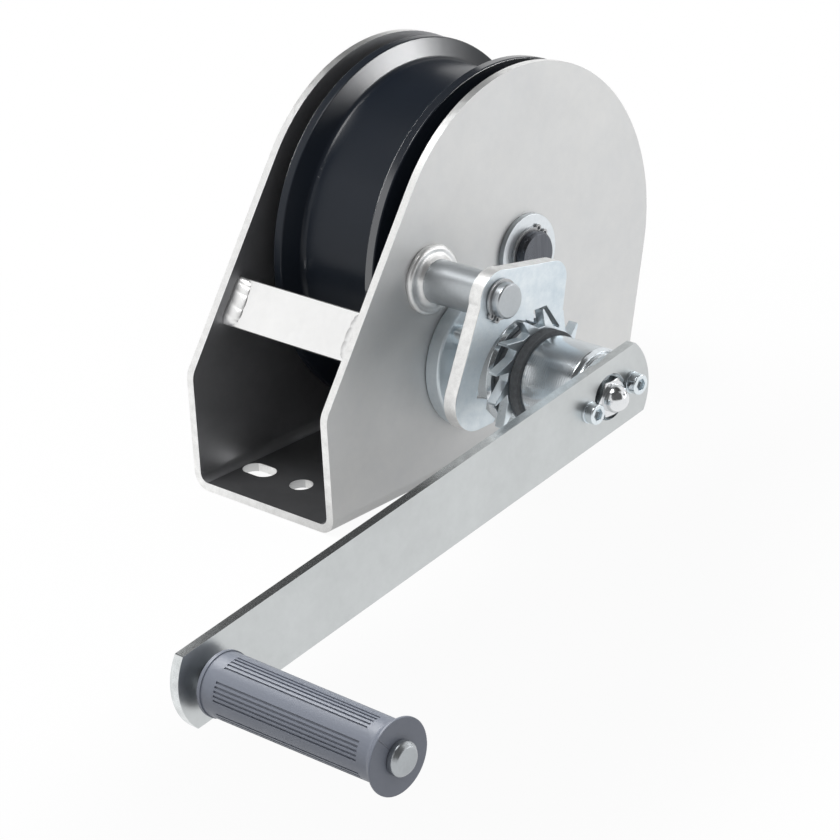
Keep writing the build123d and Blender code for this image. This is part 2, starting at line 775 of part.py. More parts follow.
with BuildPart() as crank_arm:
    with BuildSketch(side_plane(shaft_x, shaft_z, arm_out, crank_direction)):
        end_centre = arm_reach - arm_end_radius
        with Locations((end_centre / 2, 0)):
            SlotCenterToCenter(end_centre, 2 * arm_end_radius)
            Rectangle(2 * arm_reach, arm_width, mode=Mode.INTERSECT)
        fillet(vertices(), arm_corner_radius)
        Circle(arm_hole_radius, mode=Mode.SUBTRACT)
        with Locations(*screw_points):
            Circle(arm_screw_radius + seat_gap, mode=Mode.SUBTRACT)
        with Locations((crank_radius, 0)):
            Circle(pin_radius, mode=Mode.SUBTRACT)
    extrude(amount=arm_thickness)

screw_axes = [
    (shaft_x + along * cos(radians(crank_direction)), shaft_z + along * sin(radians(crank_direction)))
    for along in (arm_screw_offset, -arm_screw_offset)
]
arm_face_out = arm_out + arm_thickness
screw_seat_out = arm_face_out + lock_washer_thickness
arm_screw_length = lock_washer_thickness + arm_thickness + arm_screw_depth - arm_screw_radius

with BuildPart() as arm_lock_washers:
    for x, z in screw_axes:
        bore = arm_screw_radius + seat_gap
        add(ring(x, z, arm_face_out, lock_washer_thickness, lock_washer_radius, bore))

with BuildPart() as arm_screws:
    for x, z in screw_axes:
        place = side_plane(x, z, screw_seat_out)
        add(cap_screw(place, arm_screw_radius, arm_screw_head, arm_screw_length))

with BuildPart() as nut_washer:
    bore = stud_radius + seat_gap
    add(ring(shaft_x, shaft_z, nut_washer_out, nut_washer_thickness, nut_washer_radius, bore))

with BuildPart() as cap_nut:
    with BuildSketch(side_plane(shaft_x, shaft_z, nut_out)):
        RegularPolygon(nut_across_flats / 2, 6, major_radius=False)
    extrude(amount=nut_hex_height)
    hex_top_out = nut_out + nut_hex_height
    dome_out = hex_top_out + nut_neck
    flat_radius = nut_across_flats / 2
    corner_radius = flat_radius + nut_hex_chamfer / tan(radians(30))
    with BuildSketch(section_plane(shaft_x, shaft_z)):
        with BuildLine():
            Polyline(
                (nut_out, 0),
                (nut_out, corner_radius),
                (hex_top_out - nut_hex_chamfer, corner_radius),
                (hex_top_out, flat_radius - seat_gap),
                (hex_top_out, 0),
                close=True,
            )
        make_face()
    revolve(axis=turning_axis(shaft_x, shaft_z), mode=Mode.INTERSECT)
    with BuildSketch(section_plane(shaft_x, shaft_z)):
        with BuildLine():
            Polyline((dome_out, nut_dome_radius), (hex_top_out, nut_dome_radius), (hex_top_out, 0))
            Line((hex_top_out, 0), (dome_out + nut_dome_radius, 0))
            ThreePointArc(
                (dome_out + nut_dome_radius, 0),
                (dome_out + nut_dome_radius / sqrt(2), nut_dome_radius / sqrt(2)),
                (dome_out, nut_dome_radius),
            )
        make_face()
    revolve(axis=turning_axis(shaft_x, shaft_z))
    with BuildSketch(side_plane(shaft_x, shaft_z, nut_out)):
        Circle(stud_radius + seat_gap)
    extrude(amount=stud_reach + seat_gap, mode=Mode.SUBTRACT)

# Handle: a pin riveted to the arm and a grip that turns on it
grip_end_out = grip_out + grip_length
head_out = grip_end_out + face_gap

with BuildPart() as handle_pin:
    with BuildSketch(section_plane(handle_x, handle_z)):
        collar_out = arm_out + arm_thickness
        with BuildLine():
            Polyline(
                (arm_out - pin_rivet_height, 0),
                (arm_out - pin_rivet_height, pin_radius),
                (arm_out, pin_rivet_radius),
                (arm_out, pin_radius - seat_gap),
                (collar_out, pin_radius - seat_gap),
                (collar_out, pin_collar_radius),
                (collar_out + pin_collar_length, pin_collar_radius),
                (collar_out + pin_collar_length, pin_radius),
                (head_out, pin_radius),
                (head_out, pin_head_radius),
                (head_out + pin_head_height - pin_head_chamfer, pin_head_radius),
                (head_out + pin_head_height, pin_head_radius - pin_head_chamfer),
                (head_out + pin_head_height, 0),
                close=True,
            )
        make_face()
    revolve(axis=turning_axis(handle_x, handle_z))

with BuildPart() as grip:
    with BuildSketch(section_plane(handle_x, handle_z)):
        bore = pin_radius + running_gap
        lip_end = grip_out + grip_lip_length
        flare_start = grip_end_out - grip_flare_length
        rim_start = grip_end_out - grip_rim_thickness
        with BuildLine():
            Polyline(
                (grip_out, bore),
                (grip_out, grip_lip_radius),
                (lip_end, grip_lip_radius),
                (lip_end, grip_radius),
                (flare_start, grip_waist_radius),
                (rim_start, grip_flare_radius),
                (grip_end_out, grip_flare_radius),
                (grip_end_out, bore),
                close=True,
            )
        make_face()
        fillet(vertices().sort_by_distance((grip_out, grip_lip_radius))[0], grip_edge_round)
        fillet(vertices().sort_by_distance((grip_end_out, grip_flare_radius))[0], grip_rim_round)
        fillet(vertices().sort_by_distance((rim_start, grip_flare_radius))[0], grip_rim_round)
        fillet(vertices().sort_by_distance((flare_start, grip_waist_radius))[0], grip_root_round)
    revolve(axis=turning_axis(handle_x, handle_z))
    groove_length = grip_length - groove_start - groove_end
    for group in range(groove_groups):
        for line in range(grooves_per_group):
            turn = groove_phase + 360 * group / groove_groups
            turn += groove_pitch * (line - (grooves_per_group - 1) / 2)
            with BuildSketch(side_plane(handle_x, handle_z, grip_out + groove_start, turn)):
                with Locations((grip_radius, 0)):
                    Rectangle(2 * groove_sink, groove_width)
            extrude(amount=groove_length, mode=Mode.SUBTRACT)

pieces = {
    "bracket": bracket.part,
    "cross_bar": cross_bar.part,
    "cross_bar_welds": cross_bar_welds.part,
    "drum_axle": drum_axle.part,
    "axle_washers": axle_washers.part,
    "axle_circlips": axle_circlips.part,
    "drum_spacers": drum_spacers.part,
    "drum_core": drum_core.part,
    "near_flange": near_flange.part,
    "far_flange": far_flange.part,
    "drum_bushes": drum_bushes.part,
    "ring_gear": ring_gear.part,
    "pinion_shaft": pinion_shaft.part,
    "bearing_flange": bearing_flange.part,
    "bearing_screws": bearing_screws.part,
    "shaft_bushes": shaft_bushes.part,
    "thrust_washer": thrust_washer.part,
    "pressure_disc": pressure_disc.part,
    "inner_friction_disc": inner_friction_disc.part,
    "outer_friction_disc": outer_friction_disc.part,
    "ratchet_wheel": ratchet_wheel.part,
    "ratchet_bush": ratchet_bush.part,
    "pawl": pawl.part,
    "pawl_post": pawl_post.part,
    "pawl_post_weld": pawl_post_weld.part,
    "pawl_circlip": pawl_circlip.part,
    "crank_hub": crank_hub.part,
    "crank_arm": crank_arm.part,
    "arm_lock_washers": arm_lock_washers.part,
    "arm_screws": arm_screws.part,
    "nut_washer": nut_washer.part,
    "cap_nut": cap_nut.part,
    "handle_pin": handle_pin.part,
    "grip": grip.part,
}

os.makedirs("parts", exist_ok=True)
for name, piece in pieces.items():
    piece.label = name
    export_step(piece, f"parts/{name}.step")
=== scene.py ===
"""Finish and studio of a hand-cranked wire rope winch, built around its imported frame."""

import json
import math

import bmesh
import bpy
from bpy.props import FloatProperty, FloatVectorProperty, IntProperty, PointerProperty
from bpy.types import Operator, Panel, PropertyGroup
from mathutils import Matrix, Vector


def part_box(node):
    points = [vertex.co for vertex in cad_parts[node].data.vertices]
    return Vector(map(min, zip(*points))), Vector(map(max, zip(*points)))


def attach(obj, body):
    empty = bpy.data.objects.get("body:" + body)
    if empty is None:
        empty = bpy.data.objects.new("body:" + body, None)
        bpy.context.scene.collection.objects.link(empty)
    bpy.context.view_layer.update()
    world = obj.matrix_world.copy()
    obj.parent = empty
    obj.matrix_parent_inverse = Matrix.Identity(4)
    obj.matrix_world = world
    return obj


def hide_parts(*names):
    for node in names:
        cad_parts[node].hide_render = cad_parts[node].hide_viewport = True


bl_info = {
    "name": "Wire Rope Winch",
    "version": (1, 0, 0),
    "blender": (4, 5, 0),
    "location": "3D View > Sidebar > Winch",
    "description": "Finishes the pieces of a hand-cranked winch and sets up its studio",
    "category": "Object",
}

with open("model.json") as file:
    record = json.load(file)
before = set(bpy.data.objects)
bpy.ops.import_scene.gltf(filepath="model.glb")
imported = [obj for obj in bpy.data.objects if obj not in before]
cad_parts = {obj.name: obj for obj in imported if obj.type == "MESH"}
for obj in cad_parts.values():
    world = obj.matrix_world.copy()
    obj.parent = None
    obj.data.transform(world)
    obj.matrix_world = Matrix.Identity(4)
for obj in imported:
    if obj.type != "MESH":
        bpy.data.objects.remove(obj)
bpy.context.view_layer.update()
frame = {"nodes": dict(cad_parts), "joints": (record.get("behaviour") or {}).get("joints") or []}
finishes = {}
effects = {}


def joint_axis(name):
    """Point on a joint's axis, in the middle plane."""
    for joint in frame["joints"]:
        if joint["name"] == name:
            x, _, z = joint["pos_m"]
            return Vector((x, 0.0, z))
    raise RuntimeError(f"the frame has no joint {name}")


AXLE = joint_axis("drum_spin")
SHAFT = joint_axis("shaft_spin")
POST = joint_axis("pawl_lift")
HANDLE = joint_axis("grip_spin")


class WinchSizes(PropertyGroup):
    """Sizes of the finishing work on the pieces"""

    sheet_round: FloatProperty(
        name="Sheet edge", description="Round on sheared sheet edges", default=0.0004, unit="LENGTH"
    )
    bar_round: FloatProperty(
        name="Bar edge", description="Round on cut bar edges", default=0.0005, unit="LENGTH"
    )
    turned_round: FloatProperty(
        name="Turned edge", description="Round on turned edges", default=0.0004, unit="LENGTH"
    )
    small_round: FloatProperty(
        name="Fastener edge", description="Round on fasteners", default=0.00018, unit="LENGTH"
    )
    plate_round: FloatProperty(
        name="Plate edge", description="Round on the pawl's edges", default=0.00045, unit="LENGTH"
    )
    tooth_round: FloatProperty(
        name="Tooth edge", description="Round on the ratchet's teeth", default=0.00035, unit="LENGTH"
    )
    nut_round: FloatProperty(
        name="Nut edge", description="Round on the nut and the post", default=0.0003, unit="LENGTH"
    )
    lining_round: FloatProperty(
        name="Lining edge", description="Round on the friction discs", default=0.00025, unit="LENGTH"
    )
    pin_round: FloatProperty(
        name="Pin edge", description="Round on the handle pin", default=0.0006, unit="LENGTH"
    )
    sheet: FloatProperty(
        name="Sheet", description="Thickness of the bracket's sheet", default=0.004, unit="LENGTH"
    )
    sheet_bend: FloatProperty(
        name="Sheet bend", description="Outer radius of the bracket's bends", default=0.008, unit="LENGTH"
    )
    lip_depth: FloatProperty(
        name="Lip depth", description="Depth of the near flange's lip", default=0.0012, unit="LENGTH"
    )
    turn_steps: IntProperty(
        name="Turning steps", description="Steps round a turned piece", default=160, subtype="UNSIGNED"
    )
    bead_leg: FloatProperty(
        name="Bead leg", description="Weld bead along the bar", default=0.0088, unit="LENGTH"
    )
    bead_height: FloatProperty(
        name="Bead height", description="Weld bead on the side plate", default=0.0019, unit="LENGTH"
    )
    bead_ripples: IntProperty(
        name="Ripples", description="Ripples along a bar weld", default=5, subtype="UNSIGNED"
    )
    bar_slope: FloatProperty(
        name="Bar slope", description="Slope of the bar", default=math.radians(54.77), subtype="ANGLE"
    )
    groove_floor: FloatProperty(
        name="Groove floor", description="Radius of the groove floors", default=0.01276, unit="LENGTH"
    )
    groove_fall: FloatProperty(
        name="Groove fall", description="Fall of the grooves to the flare", default=0.00055, unit="LENGTH"
    )


class WinchColours(PropertyGroup):
    """Colours of the finishes"""

    sheet: FloatVectorProperty(
        name="Sheet", description="Rolled zinc sheet", subtype="COLOR", default=(0.70, 0.70, 0.69)
    )
    sheet_shade: FloatVectorProperty(
        name="Sheet shade", description="Darker patches", subtype="COLOR", default=(0.61, 0.62, 0.63)
    )
    # Colour of the inner faces: the same sheet with painted shade, as the box's interior lies in shadow
    inside: FloatVectorProperty(
        name="Sheet inside", description="Dull inner faces", subtype="COLOR", default=(0.46, 0.465, 0.48)
    )
    rim: FloatVectorProperty(
        name="Sheared rim", description="Bright sheared edge", subtype="COLOR", default=(0.96, 0.96, 0.95)
    )
    zinc: FloatVectorProperty(
        name="Zinc", description="Blue-white plating", subtype="COLOR", default=(0.84, 0.89, 0.915)
    )
    zinc_shade: FloatVectorProperty(
        name="Zinc shade", description="Mottled plating", subtype="COLOR", default=(0.58, 0.66, 0.72)
    )
    bar: FloatVectorProperty(
        name="Bar", description="Pale plated bar", subtype="COLOR", default=(0.955, 0.955, 0.95)
    )
    bright: FloatVectorProperty(
        name="Bright zinc", description="Turned plated steel", subtype="COLOR", default=(0.80, 0.845, 0.88)
    )
    enamel: FloatVectorProperty(
        name="Enamel", description="Drum coating", subtype="COLOR", default=(0.010, 0.0135, 0.020)
    )
    lining: FloatVectorProperty(
        name="Lining", description="Friction lining", subtype="COLOR", default=(0.085, 0.090, 0.095)
    )
    arm: FloatVectorProperty(
        name="Arm", description="Rolled arm plate", subtype="COLOR", default=(0.66, 0.685, 0.69)
    )
    axle: FloatVectorProperty(
        name="Axle end", description="Oiled turned steel", subtype="COLOR", default=(0.125, 0.132, 0.148)
    )
    spring: FloatVectorProperty(
        name="Spring steel", description="Blackened rings", subtype="COLOR", default=(0.34, 0.345, 0.35)
    )
    chrome: FloatVectorProperty(
        name="Chrome", description="Cap nut", subtype="COLOR", default=(0.82, 0.83, 0.84)
    )
    chrome_shade: FloatVectorProperty(
        name="Chrome shade", description="Patches on the nut", subtype="COLOR", default=(0.70, 0.72, 0.74)
    )
    bronze: FloatVectorProperty(
        name="Bronze", description="Bushes", subtype="COLOR", default=(0.55, 0.36, 0.17)
    )
    gear: FloatVectorProperty(
        name="Gear steel", description="Greased gear", subtype="COLOR", default=(0.32, 0.32, 0.33)
    )
    grip: FloatVectorProperty(
        name="Grip", description="Grip plastic", subtype="COLOR", default=(0.205, 0.224, 0.270)
    )


class WinchStage(PropertyGroup):
    """Camera and lights"""

    camera_place: FloatVectorProperty(
        name="Camera", description="Camera's place", subtype="XYZ", default=(-1.0116, -0.9427, 0.6025)
    )
    azimuth: FloatProperty(
        name="Azimuth", description="Turn of the view", subtype="ANGLE", default=math.radians(-46.18)
    )
    elevation: FloatProperty(
        name="Elevation", description="Height of the view", subtype="ANGLE", default=math.radians(23.60)
    )
    roll: FloatProperty(
        name="Roll", description="Roll of the view", subtype="ANGLE", default=math.radians(-3.04)
    )
    lens: FloatProperty(name="Lens", description="Focal length in mm", default=135.64, unit="CAMERA")
    top_power: FloatProperty(name="Top light", description="Overhead light", default=9.0, unit="POWER")
    bench_edge: FloatProperty(
        name="Bench edge", description="Where the bench starts to fall", default=-0.062, unit="LENGTH"
    )
    bench_round: FloatProperty(
        name="Bench round", description="Rolled edge of the bench", default=0.04, unit="LENGTH"
    )
    bench_drop: FloatProperty(
        name="Bench drop", description="Height of the bench", default=0.40, unit="LENGTH"
    )
    cove_round: FloatProperty(
        name="Cove", description="Rolled foot of the bench", default=0.15, unit="LENGTH"
    )
    # The grey card is a painted shadow of the winch and its crank on the floor, seen only in reflections; its
    # middle also centres the floor's faint real shadow
    shadow_place: FloatVectorProperty(
        name="Grey place", description="Grey card's middle", subtype="XYZ", default=(-0.075, -0.085, 0.0)
    )
    shadow_card_edge: FloatProperty(
        name="Grey edge", description="Grey card's edge behind the arm", default=-0.117, unit="LENGTH"
    )
    shadow_card_reach: FloatProperty(
        name="Grey reach", description="Radius of the grey card", default=0.15, unit="LENGTH"
    )
    shadow_card_level: FloatProperty(
        name="Grey level", description="Level of the grey card", default=0.50, max=1.0, subtype="FACTOR"
    )
    side_level: FloatProperty(
        name="Side card", description="Level of the bright card", default=4.2, subtype="UNSIGNED"
    )
    drum_level: FloatProperty(
        name="Drum card", description="Level of the drum's cards", default=70.0, subtype="UNSIGNED"
    )


def add_effect(name, inputs):
    """Empty shader node group from a place to a mask; returns the tree and its two ends."""
    group = bpy.data.node_groups.new(name, "ShaderNodeTree")
    group.interface.new_socket("Vector", in_out="INPUT", socket_type="NodeSocketVector")
    for label, default in inputs.items():
        kind = "NodeSocketFloat" if isinstance(default, float) else "NodeSocketVector"
        socket = group.interface.new_socket(label, in_out="INPUT", socket_type=kind)
        socket.default_value = default
    group.interface.new_socket("Mask", in_out="OUTPUT", socket_type="NodeSocketFloat")
    entry = group.nodes.new("NodeGroupInput")
    leave = group.nodes.new("NodeGroupOutput")
    effects[name] = group
    return group, entry, leave


def add_node(tree, kind, settings=None, values=None):
    """Node with its settings and the default values of its named inputs."""
    made = tree.nodes.new(kind)
    for key, value in (settings or {}).items():
        setattr(made, key, value)
    for key, value in (values or {}).items():
        made.inputs[key].default_value = value
    return made


def add_math(tree, operation, *operands, clamp=False):
    """Math node fed by sockets and plain numbers; returns its result socket."""
    made = add_node(tree, "ShaderNodeMath", {"operation": operation, "use_clamp": clamp})
    for socket, operand in zip(made.inputs, operands):
        if isinstance(operand, bpy.types.NodeSocket):
            tree.links.new(operand, socket)
        else:
            socket.default_value = operand
    return made.outputs[0]


def build_mottle():
    """Cloudy patches of two sizes, sharpened by a contrast."""
    tree, entry, leave = add_effect("Mottle", {"Scale": 40.0, "Contrast": 2.0})
    finer = 7.3
    middle = 0.5
    cloud = add_node(tree, "ShaderNodeTexNoise", values={"Detail": 4.0, "Roughness": 0.6})
    fleck = add_node(tree, "ShaderNodeTexNoise", values={"Detail": 3.0, "Roughness": 0.7})
    blend = add_node(tree, "ShaderNodeMix", values={"Factor": 0.38})
    join = tree.links.new
    join(entry.outputs["Vector"], cloud.inputs["Vector"])
    join(entry.outputs["Vector"], fleck.inputs["Vector"])
    join(entry.outputs["Scale"], cloud.inputs["Scale"])
    join(add_math(tree, "MULTIPLY", entry.outputs["Scale"], finer), fleck.inputs["Scale"])
    join(cloud.outputs["Fac"], blend.inputs["A"])
    join(fleck.outputs["Fac"], blend.inputs["B"])
    offset = add_math(tree, "SUBTRACT", blend.outputs["Result"], middle)
    sharpened = add_math(tree, "MULTIPLY", offset, entry.outputs["Contrast"])
    join(add_math(tree, "ADD", sharpened, middle, clamp=True), leave.inputs["Mask"])


def build_grain():
    """Fine surface grain for a bump."""
    tree, entry, leave = add_effect("Grain", {"Scale": 900.0})
    grain = add_node(tree, "ShaderNodeTexNoise", values={"Detail": 3.0, "Roughness": 0.65})
    tree.links.new(entry.outputs["Vector"], grain.inputs["Vector"])
    tree.links.new(entry.outputs["Scale"], grain.inputs["Scale"])
    tree.links.new(grain.outputs["Fac"], leave.inputs["Mask"])


def build_drawn_lines():
    """Long streaks: noise squeezed across the direction of rolling or brushing."""
    tree, entry, leave = add_effect("Drawn Lines", {"Stretch": (1.0, 1.0, 1.0)})
    squeeze = add_node(tree, "ShaderNodeVectorMath", {"operation": "MULTIPLY"})
    streak = add_node(tree, "ShaderNodeTexNoise", values={"Scale": 1.0, "Detail": 5.0, "Roughness": 0.7})
    tree.links.new(entry.outputs["Vector"], squeeze.inputs[0])
    tree.links.new(entry.outputs["Stretch"], squeeze.inputs[1])
    tree.links.new(squeeze.outputs[0], streak.inputs["Vector"])
    tree.links.new(streak.outputs["Fac"], leave.inputs["Mask"])


def build_turning_marks():
    """Tool marks of a lathe: rings on end faces and bands along the barrel."""
    tree, entry, leave = add_effect("Turning Marks", {"Scale": 260.0})
    uneven = {"Distortion": 1.6, "Detail": 3.0, "Detail Scale": 2.0}
    rings = add_node(tree, "ShaderNodeTexWave", {"wave_type": "RINGS", "rings_direction": "Y"}, uneven)
    bands = add_node(tree, "ShaderNodeTexWave", {"wave_type": "BANDS", "bands_direction": "Y"}, uneven)
    normal = add_node(tree, "ShaderNodeNewGeometry")
    parts = add_node(tree, "ShaderNodeSeparateXYZ")
    pick = add_node(tree, "ShaderNodeMix")
    join = tree.links.new
    for marks in (rings, bands):
        join(entry.outputs["Vector"], marks.inputs["Vector"])
        join(entry.outputs["Scale"], marks.inputs["Scale"])
    join(normal.outputs["True Normal"], parts.inputs[0])
    join(add_math(tree, "ABSOLUTE", parts.outputs["Y"]), pick.inputs["Factor"])
    join(bands.outputs["Fac"], pick.inputs["A"])
    join(rings.outputs["Fac"], pick.inputs["B"])
    join(pick.outputs["Result"], leave.inputs["Mask"])


def place_effect(tree, name, vector, values):
    """One shared effect in a material's tree; returns its mask socket."""
    used = tree.nodes.new("ShaderNodeGroup")
    used.node_tree = effects[name]
    tree.links.new(vector, used.inputs["Vector"])
    for key, value in values.items():
        used.inputs[key].default_value = value
    return used.outputs["Mask"]


def start_finish(name, centre=None, turn=0.0, metallic=1.0):
    """Material with its shader, and Object coordinates centred on a piece and turned about Y."""
    finish = bpy.data.materials.new(name)
    finish.use_nodes = True
    tree = finish.node_tree
    shader = tree.nodes["Principled BSDF"]
    shader.inputs["Metallic"].default_value = metallic
    place = add_node(tree, "ShaderNodeTexCoord").outputs["Object"]
    if centre is not None:
        shift = add_node(tree, "ShaderNodeMapping", {"vector_type": "TEXTURE"})
        shift.inputs["Location"].default_value = centre
        shift.inputs["Rotation"].default_value = (0.0, turn, 0.0)
        tree.links.new(place, shift.inputs["Vector"])
        place = shift.outputs["Vector"]
    finishes[name] = finish
    return tree, shader, place


def colour_between(tree, mask, low, high, shader):
    """Mix a shader's colour from two by a mask."""
    mix = add_node(tree, "ShaderNodeMix", {"data_type": "RGBA"})
    mix.inputs["A"].default_value = (*low, 1.0)
    mix.inputs["B"].default_value = (*high, 1.0)
    tree.links.new(mask, mix.inputs["Factor"])
    tree.links.new(mix.outputs["Result"], shader.inputs["Base Color"])


def rough_between(tree, mask, low, high, shader):
    """Spread a mask over a range of a shader's roughness."""
    spread = add_node(tree, "ShaderNodeMapRange", values={"To Min": low, "To Max": high})
    tree.links.new(mask, spread.inputs["Value"])
    tree.links.new(spread.outputs["Result"], shader.inputs["Roughness"])


def raise_surface(tree, shader, layers):
    """Chain of bumps, each a mask with a strength and a distance in metres."""
    last = None
    for mask, strength, distance in layers:
        bump = add_node(tree, "ShaderNodeBump", values={"Strength": strength, "Distance": distance})
        tree.links.new(mask, bump.inputs["Height"])
        if last is not None:
            tree.links.new(last, bump.inputs["Normal"])
        last = bump.outputs["Normal"]
    tree.links.new(last, shader.inputs["Normal"])


def scaled(colour, share):
    """A share of a colour."""
    return tuple(share * part for part in colour)


def make_sheet_finish(shade, colour):
    """Rolled zinc sheet with wide, faint patches."""
    tree, shader, place = start_finish("rolled_sheet")
    patches = place_effect(tree, "Mottle", place, {"Scale": 16.0, "Contrast": 1.6})
    smears = place_effect(tree, "Mottle", place, {"Scale": 42.0, "Contrast": 2.2})
    grain = place_effect(tree, "Grain", place, {"Scale": 1500.0})
    rolled = place_effect(tree, "Drawn Lines", place, {"Stretch": (25.0, 300.0, 900.0)})
    colour_between(tree, patches, shade, colour, shader)
    rough_between(tree, smears, 0.52, 0.62, shader)
    raise_surface(tree, shader, [(grain, 0.10, 0.0002), (rolled, 0.05, 0.0002)])


def make_clouded_finish(name, low, high, cloud, grain, rough, bump, metallic=1.0, centre=None):
    """Finish with cloudy patches over a fine grain.

    cloud is the patches' scale and contrast, grain the grain's scale, rough the roughness of the low and
    the high colour, and bump the grain's strength and its depth in metres.
    """
    tree, shader, place = start_finish(name, centre, metallic=metallic)
    scale, contrast = cloud
    clouds = place_effect(tree, "Mottle", place, {"Scale": scale, "Contrast": contrast})
    surface = place_effect(tree, "Grain", place, {"Scale": grain})
    colour_between(tree, clouds, low, high, shader)
    rough_between(tree, clouds, *rough, shader)
    raise_surface(tree, shader, [(surface, *bump)])
    return shader


def make_painted_shade_finish(name, colour):
    """Darker inner faces of the sheet: painted shade, as the box's interior lies in shadow."""
    make_clouded_finish(
        name,
        scaled(colour, 0.75),
        colour,
        cloud=(26.0, 1.8),
        grain=1500.0,
        rough=(0.42, 0.50),
        bump=(0.10, 0.0002),
        metallic=0.9,
    )


def make_rim_finish(colour):
    """Bright sheared edges, torn a little."""
    shade = scaled(colour, 0.78)
    make_clouded_finish(
        "sheared_rim", shade, colour, cloud=(260.0, 3.0), grain=1300.0, rough=(0.44, 0.30), bump=(0.3, 0.0003)
    )


def make_zinc_finish(name, colours, cloud, rough, shade_share=1.0):
    """Blue-white plating."""
    shade = Vector(colours.zinc).lerp(Vector(colours.zinc_shade), shade_share)
    span = (rough + 0.08, rough - 0.06)
    make_clouded_finish(
        name, shade, colours.zinc, cloud=cloud, grain=1800.0, rough=span, bump=(0.12, 0.0002)
    )


def make_bar_finish(colour):
    """Smooth, pale plating of the cross bar."""
    shade = scaled(colour, 0.9)
    make_clouded_finish(
        "bar_zinc", shade, colour, cloud=(34.0, 1.6), grain=1700.0, rough=(0.27, 0.20), bump=(0.05, 0.0002)
    )


def make_weld_finish(colour):
    """Plated weld beads, duller than the bar."""
    shade = scaled(colour, 0.82)
    make_clouded_finish(
        "weld_bead", shade, colour, cloud=(120.0, 2.0), grain=1300.0, rough=(0.44, 0.34), bump=(0.15, 0.0003)
    )


def make_arm_edge_finish(colour):
    """Polished cut edges of the arm."""
    shade = scaled(colour, 0.8)
    pale = scaled(colour, 1.3)
    make_clouded_finish(
        "arm_edge", shade, pale, cloud=(220.0, 2.0), grain=1400.0, rough=(0.26, 0.16), bump=(0.06, 0.0002)
    )


def make_spring_finish(colour):
    """Blackened retaining rings."""
    make_clouded_finish(
        "spring_steel",
        colour,
        scaled(colour, 1.8),
        cloud=(300.0, 2.0),
        grain=2200.0,
        rough=(0.42, 0.30),
        bump=(0.15, 0.0001),
        metallic=0.8,
    )


def make_lining_finish(colour):
    """Dull, fibrous friction discs."""
    make_clouded_finish(
        "friction_lining",
        colour,
        scaled(colour, 1.7),
        cloud=(500.0, 2.6),
        grain=1600.0,
        rough=(0.85, 0.70),
        bump=(0.50, 0.0004),
        metallic=0.0,
        centre=SHAFT,
    )


def make_enamel_finish(name, colour, index, rough):
    """Glossy coating of the drum, with its index of refraction."""
    shader = make_clouded_finish(
        name,
        scaled(colour, 0.8),
        colour,
        cloud=(30.0, 1.6),
        grain=420.0,
        rough=(rough + 0.05, rough),
        bump=(0.025, 0.0003),
        metallic=0.0,
        centre=AXLE,
    )
    shader.inputs["IOR"].default_value = index


def make_turned_finish(name, colour, shade, centre, rough, marks_scale=260.0, marks=0.12):
    """Turned steel with rings from the tool, centred on its own axis."""
    tree, shader, place = start_finish(name, centre)
    clouds = place_effect(tree, "Mottle", place, {"Scale": 70.0, "Contrast": 1.8})
    turning = place_effect(tree, "Turning Marks", place, {"Scale": marks_scale})
    colour_between(tree, clouds, shade, colour, shader)
    rough_between(tree, clouds, rough + 0.05, rough - 0.04, shader)
    raise_surface(tree, shader, [(turning, marks, 0.0001)])


def make_arm_finish(colour):
    """Drawn bar with lines along the arm."""
    slope = math.atan2(SHAFT.z - HANDLE.z, SHAFT.x - HANDLE.x)
    tree, shader, place = start_finish("arm_plate", SHAFT, -slope)
    lines = place_effect(tree, "Drawn Lines", place, {"Stretch": (12.0, 900.0, 1500.0)})
    clouds = place_effect(tree, "Mottle", place, {"Scale": 26.0, "Contrast": 1.6})
    colour_between(tree, clouds, scaled(colour, 0.82), colour, shader)
    rough_between(tree, lines, 0.28, 0.44, shader)
    raise_surface(tree, shader, [(lines, 0.06, 0.0001)])


def make_axle_finish(colour):
    """Oiled steel with sawn lines across its ends."""
    tree, shader, place = start_finish("oiled_axle", AXLE)
    lines = place_effect(tree, "Drawn Lines", place, {"Stretch": (1400.0, 300.0, 60.0)})
    clouds = place_effect(tree, "Mottle", place, {"Scale": 160.0, "Contrast": 2.0})
    colour_between(tree, lines, scaled(colour, 0.55), scaled(colour, 1.5), shader)
    rough_between(tree, clouds, 0.34, 0.24, shader)
    raise_surface(tree, shader, [(lines, 0.2, 0.0001)])


def make_grip_finish(colour):
    """Moulded plastic with a thin parting line across the end face."""
    seam_turn = math.radians(-131.0)
    tree, shader, place = start_finish("grip_plastic", HANDLE, seam_turn, metallic=0.0)
    clouds = place_effect(tree, "Mottle", place, {"Scale": 45.0, "Contrast": 1.5})
    grain = place_effect(tree, "Grain", place, {"Scale": 1500.0})
    parts = add_node(tree, "ShaderNodeSeparateXYZ")
    normal = add_node(tree, "ShaderNodeNewGeometry")
    facing = add_node(tree, "ShaderNodeSeparateXYZ")
    thin = {"From Max": 0.00022, "To Min": 1.0, "To Max": 0.0}
    line = add_node(tree, "ShaderNodeMapRange", values=thin)
    tree.links.new(place, parts.inputs[0])
    tree.links.new(normal.outputs["True Normal"], facing.inputs[0])
    tree.links.new(add_math(tree, "ABSOLUTE", parts.outputs["Z"]), line.inputs["Value"])
    ahead = add_math(tree, "GREATER_THAN", parts.outputs["X"], 0.0)
    end_face = add_math(tree, "LESS_THAN", facing.outputs["Y"], -0.9)
    half = add_math(tree, "MULTIPLY", line.outputs["Result"], ahead)
    seam = add_math(tree, "MULTIPLY", half, end_face)
    colour_between(tree, clouds, scaled(colour, 0.86), colour, shader)
    rough_between(tree, clouds, 0.46, 0.36, shader)
    raise_surface(tree, shader, [(grain, 0.12, 0.0002), (seam, 0.8, 0.0004)])


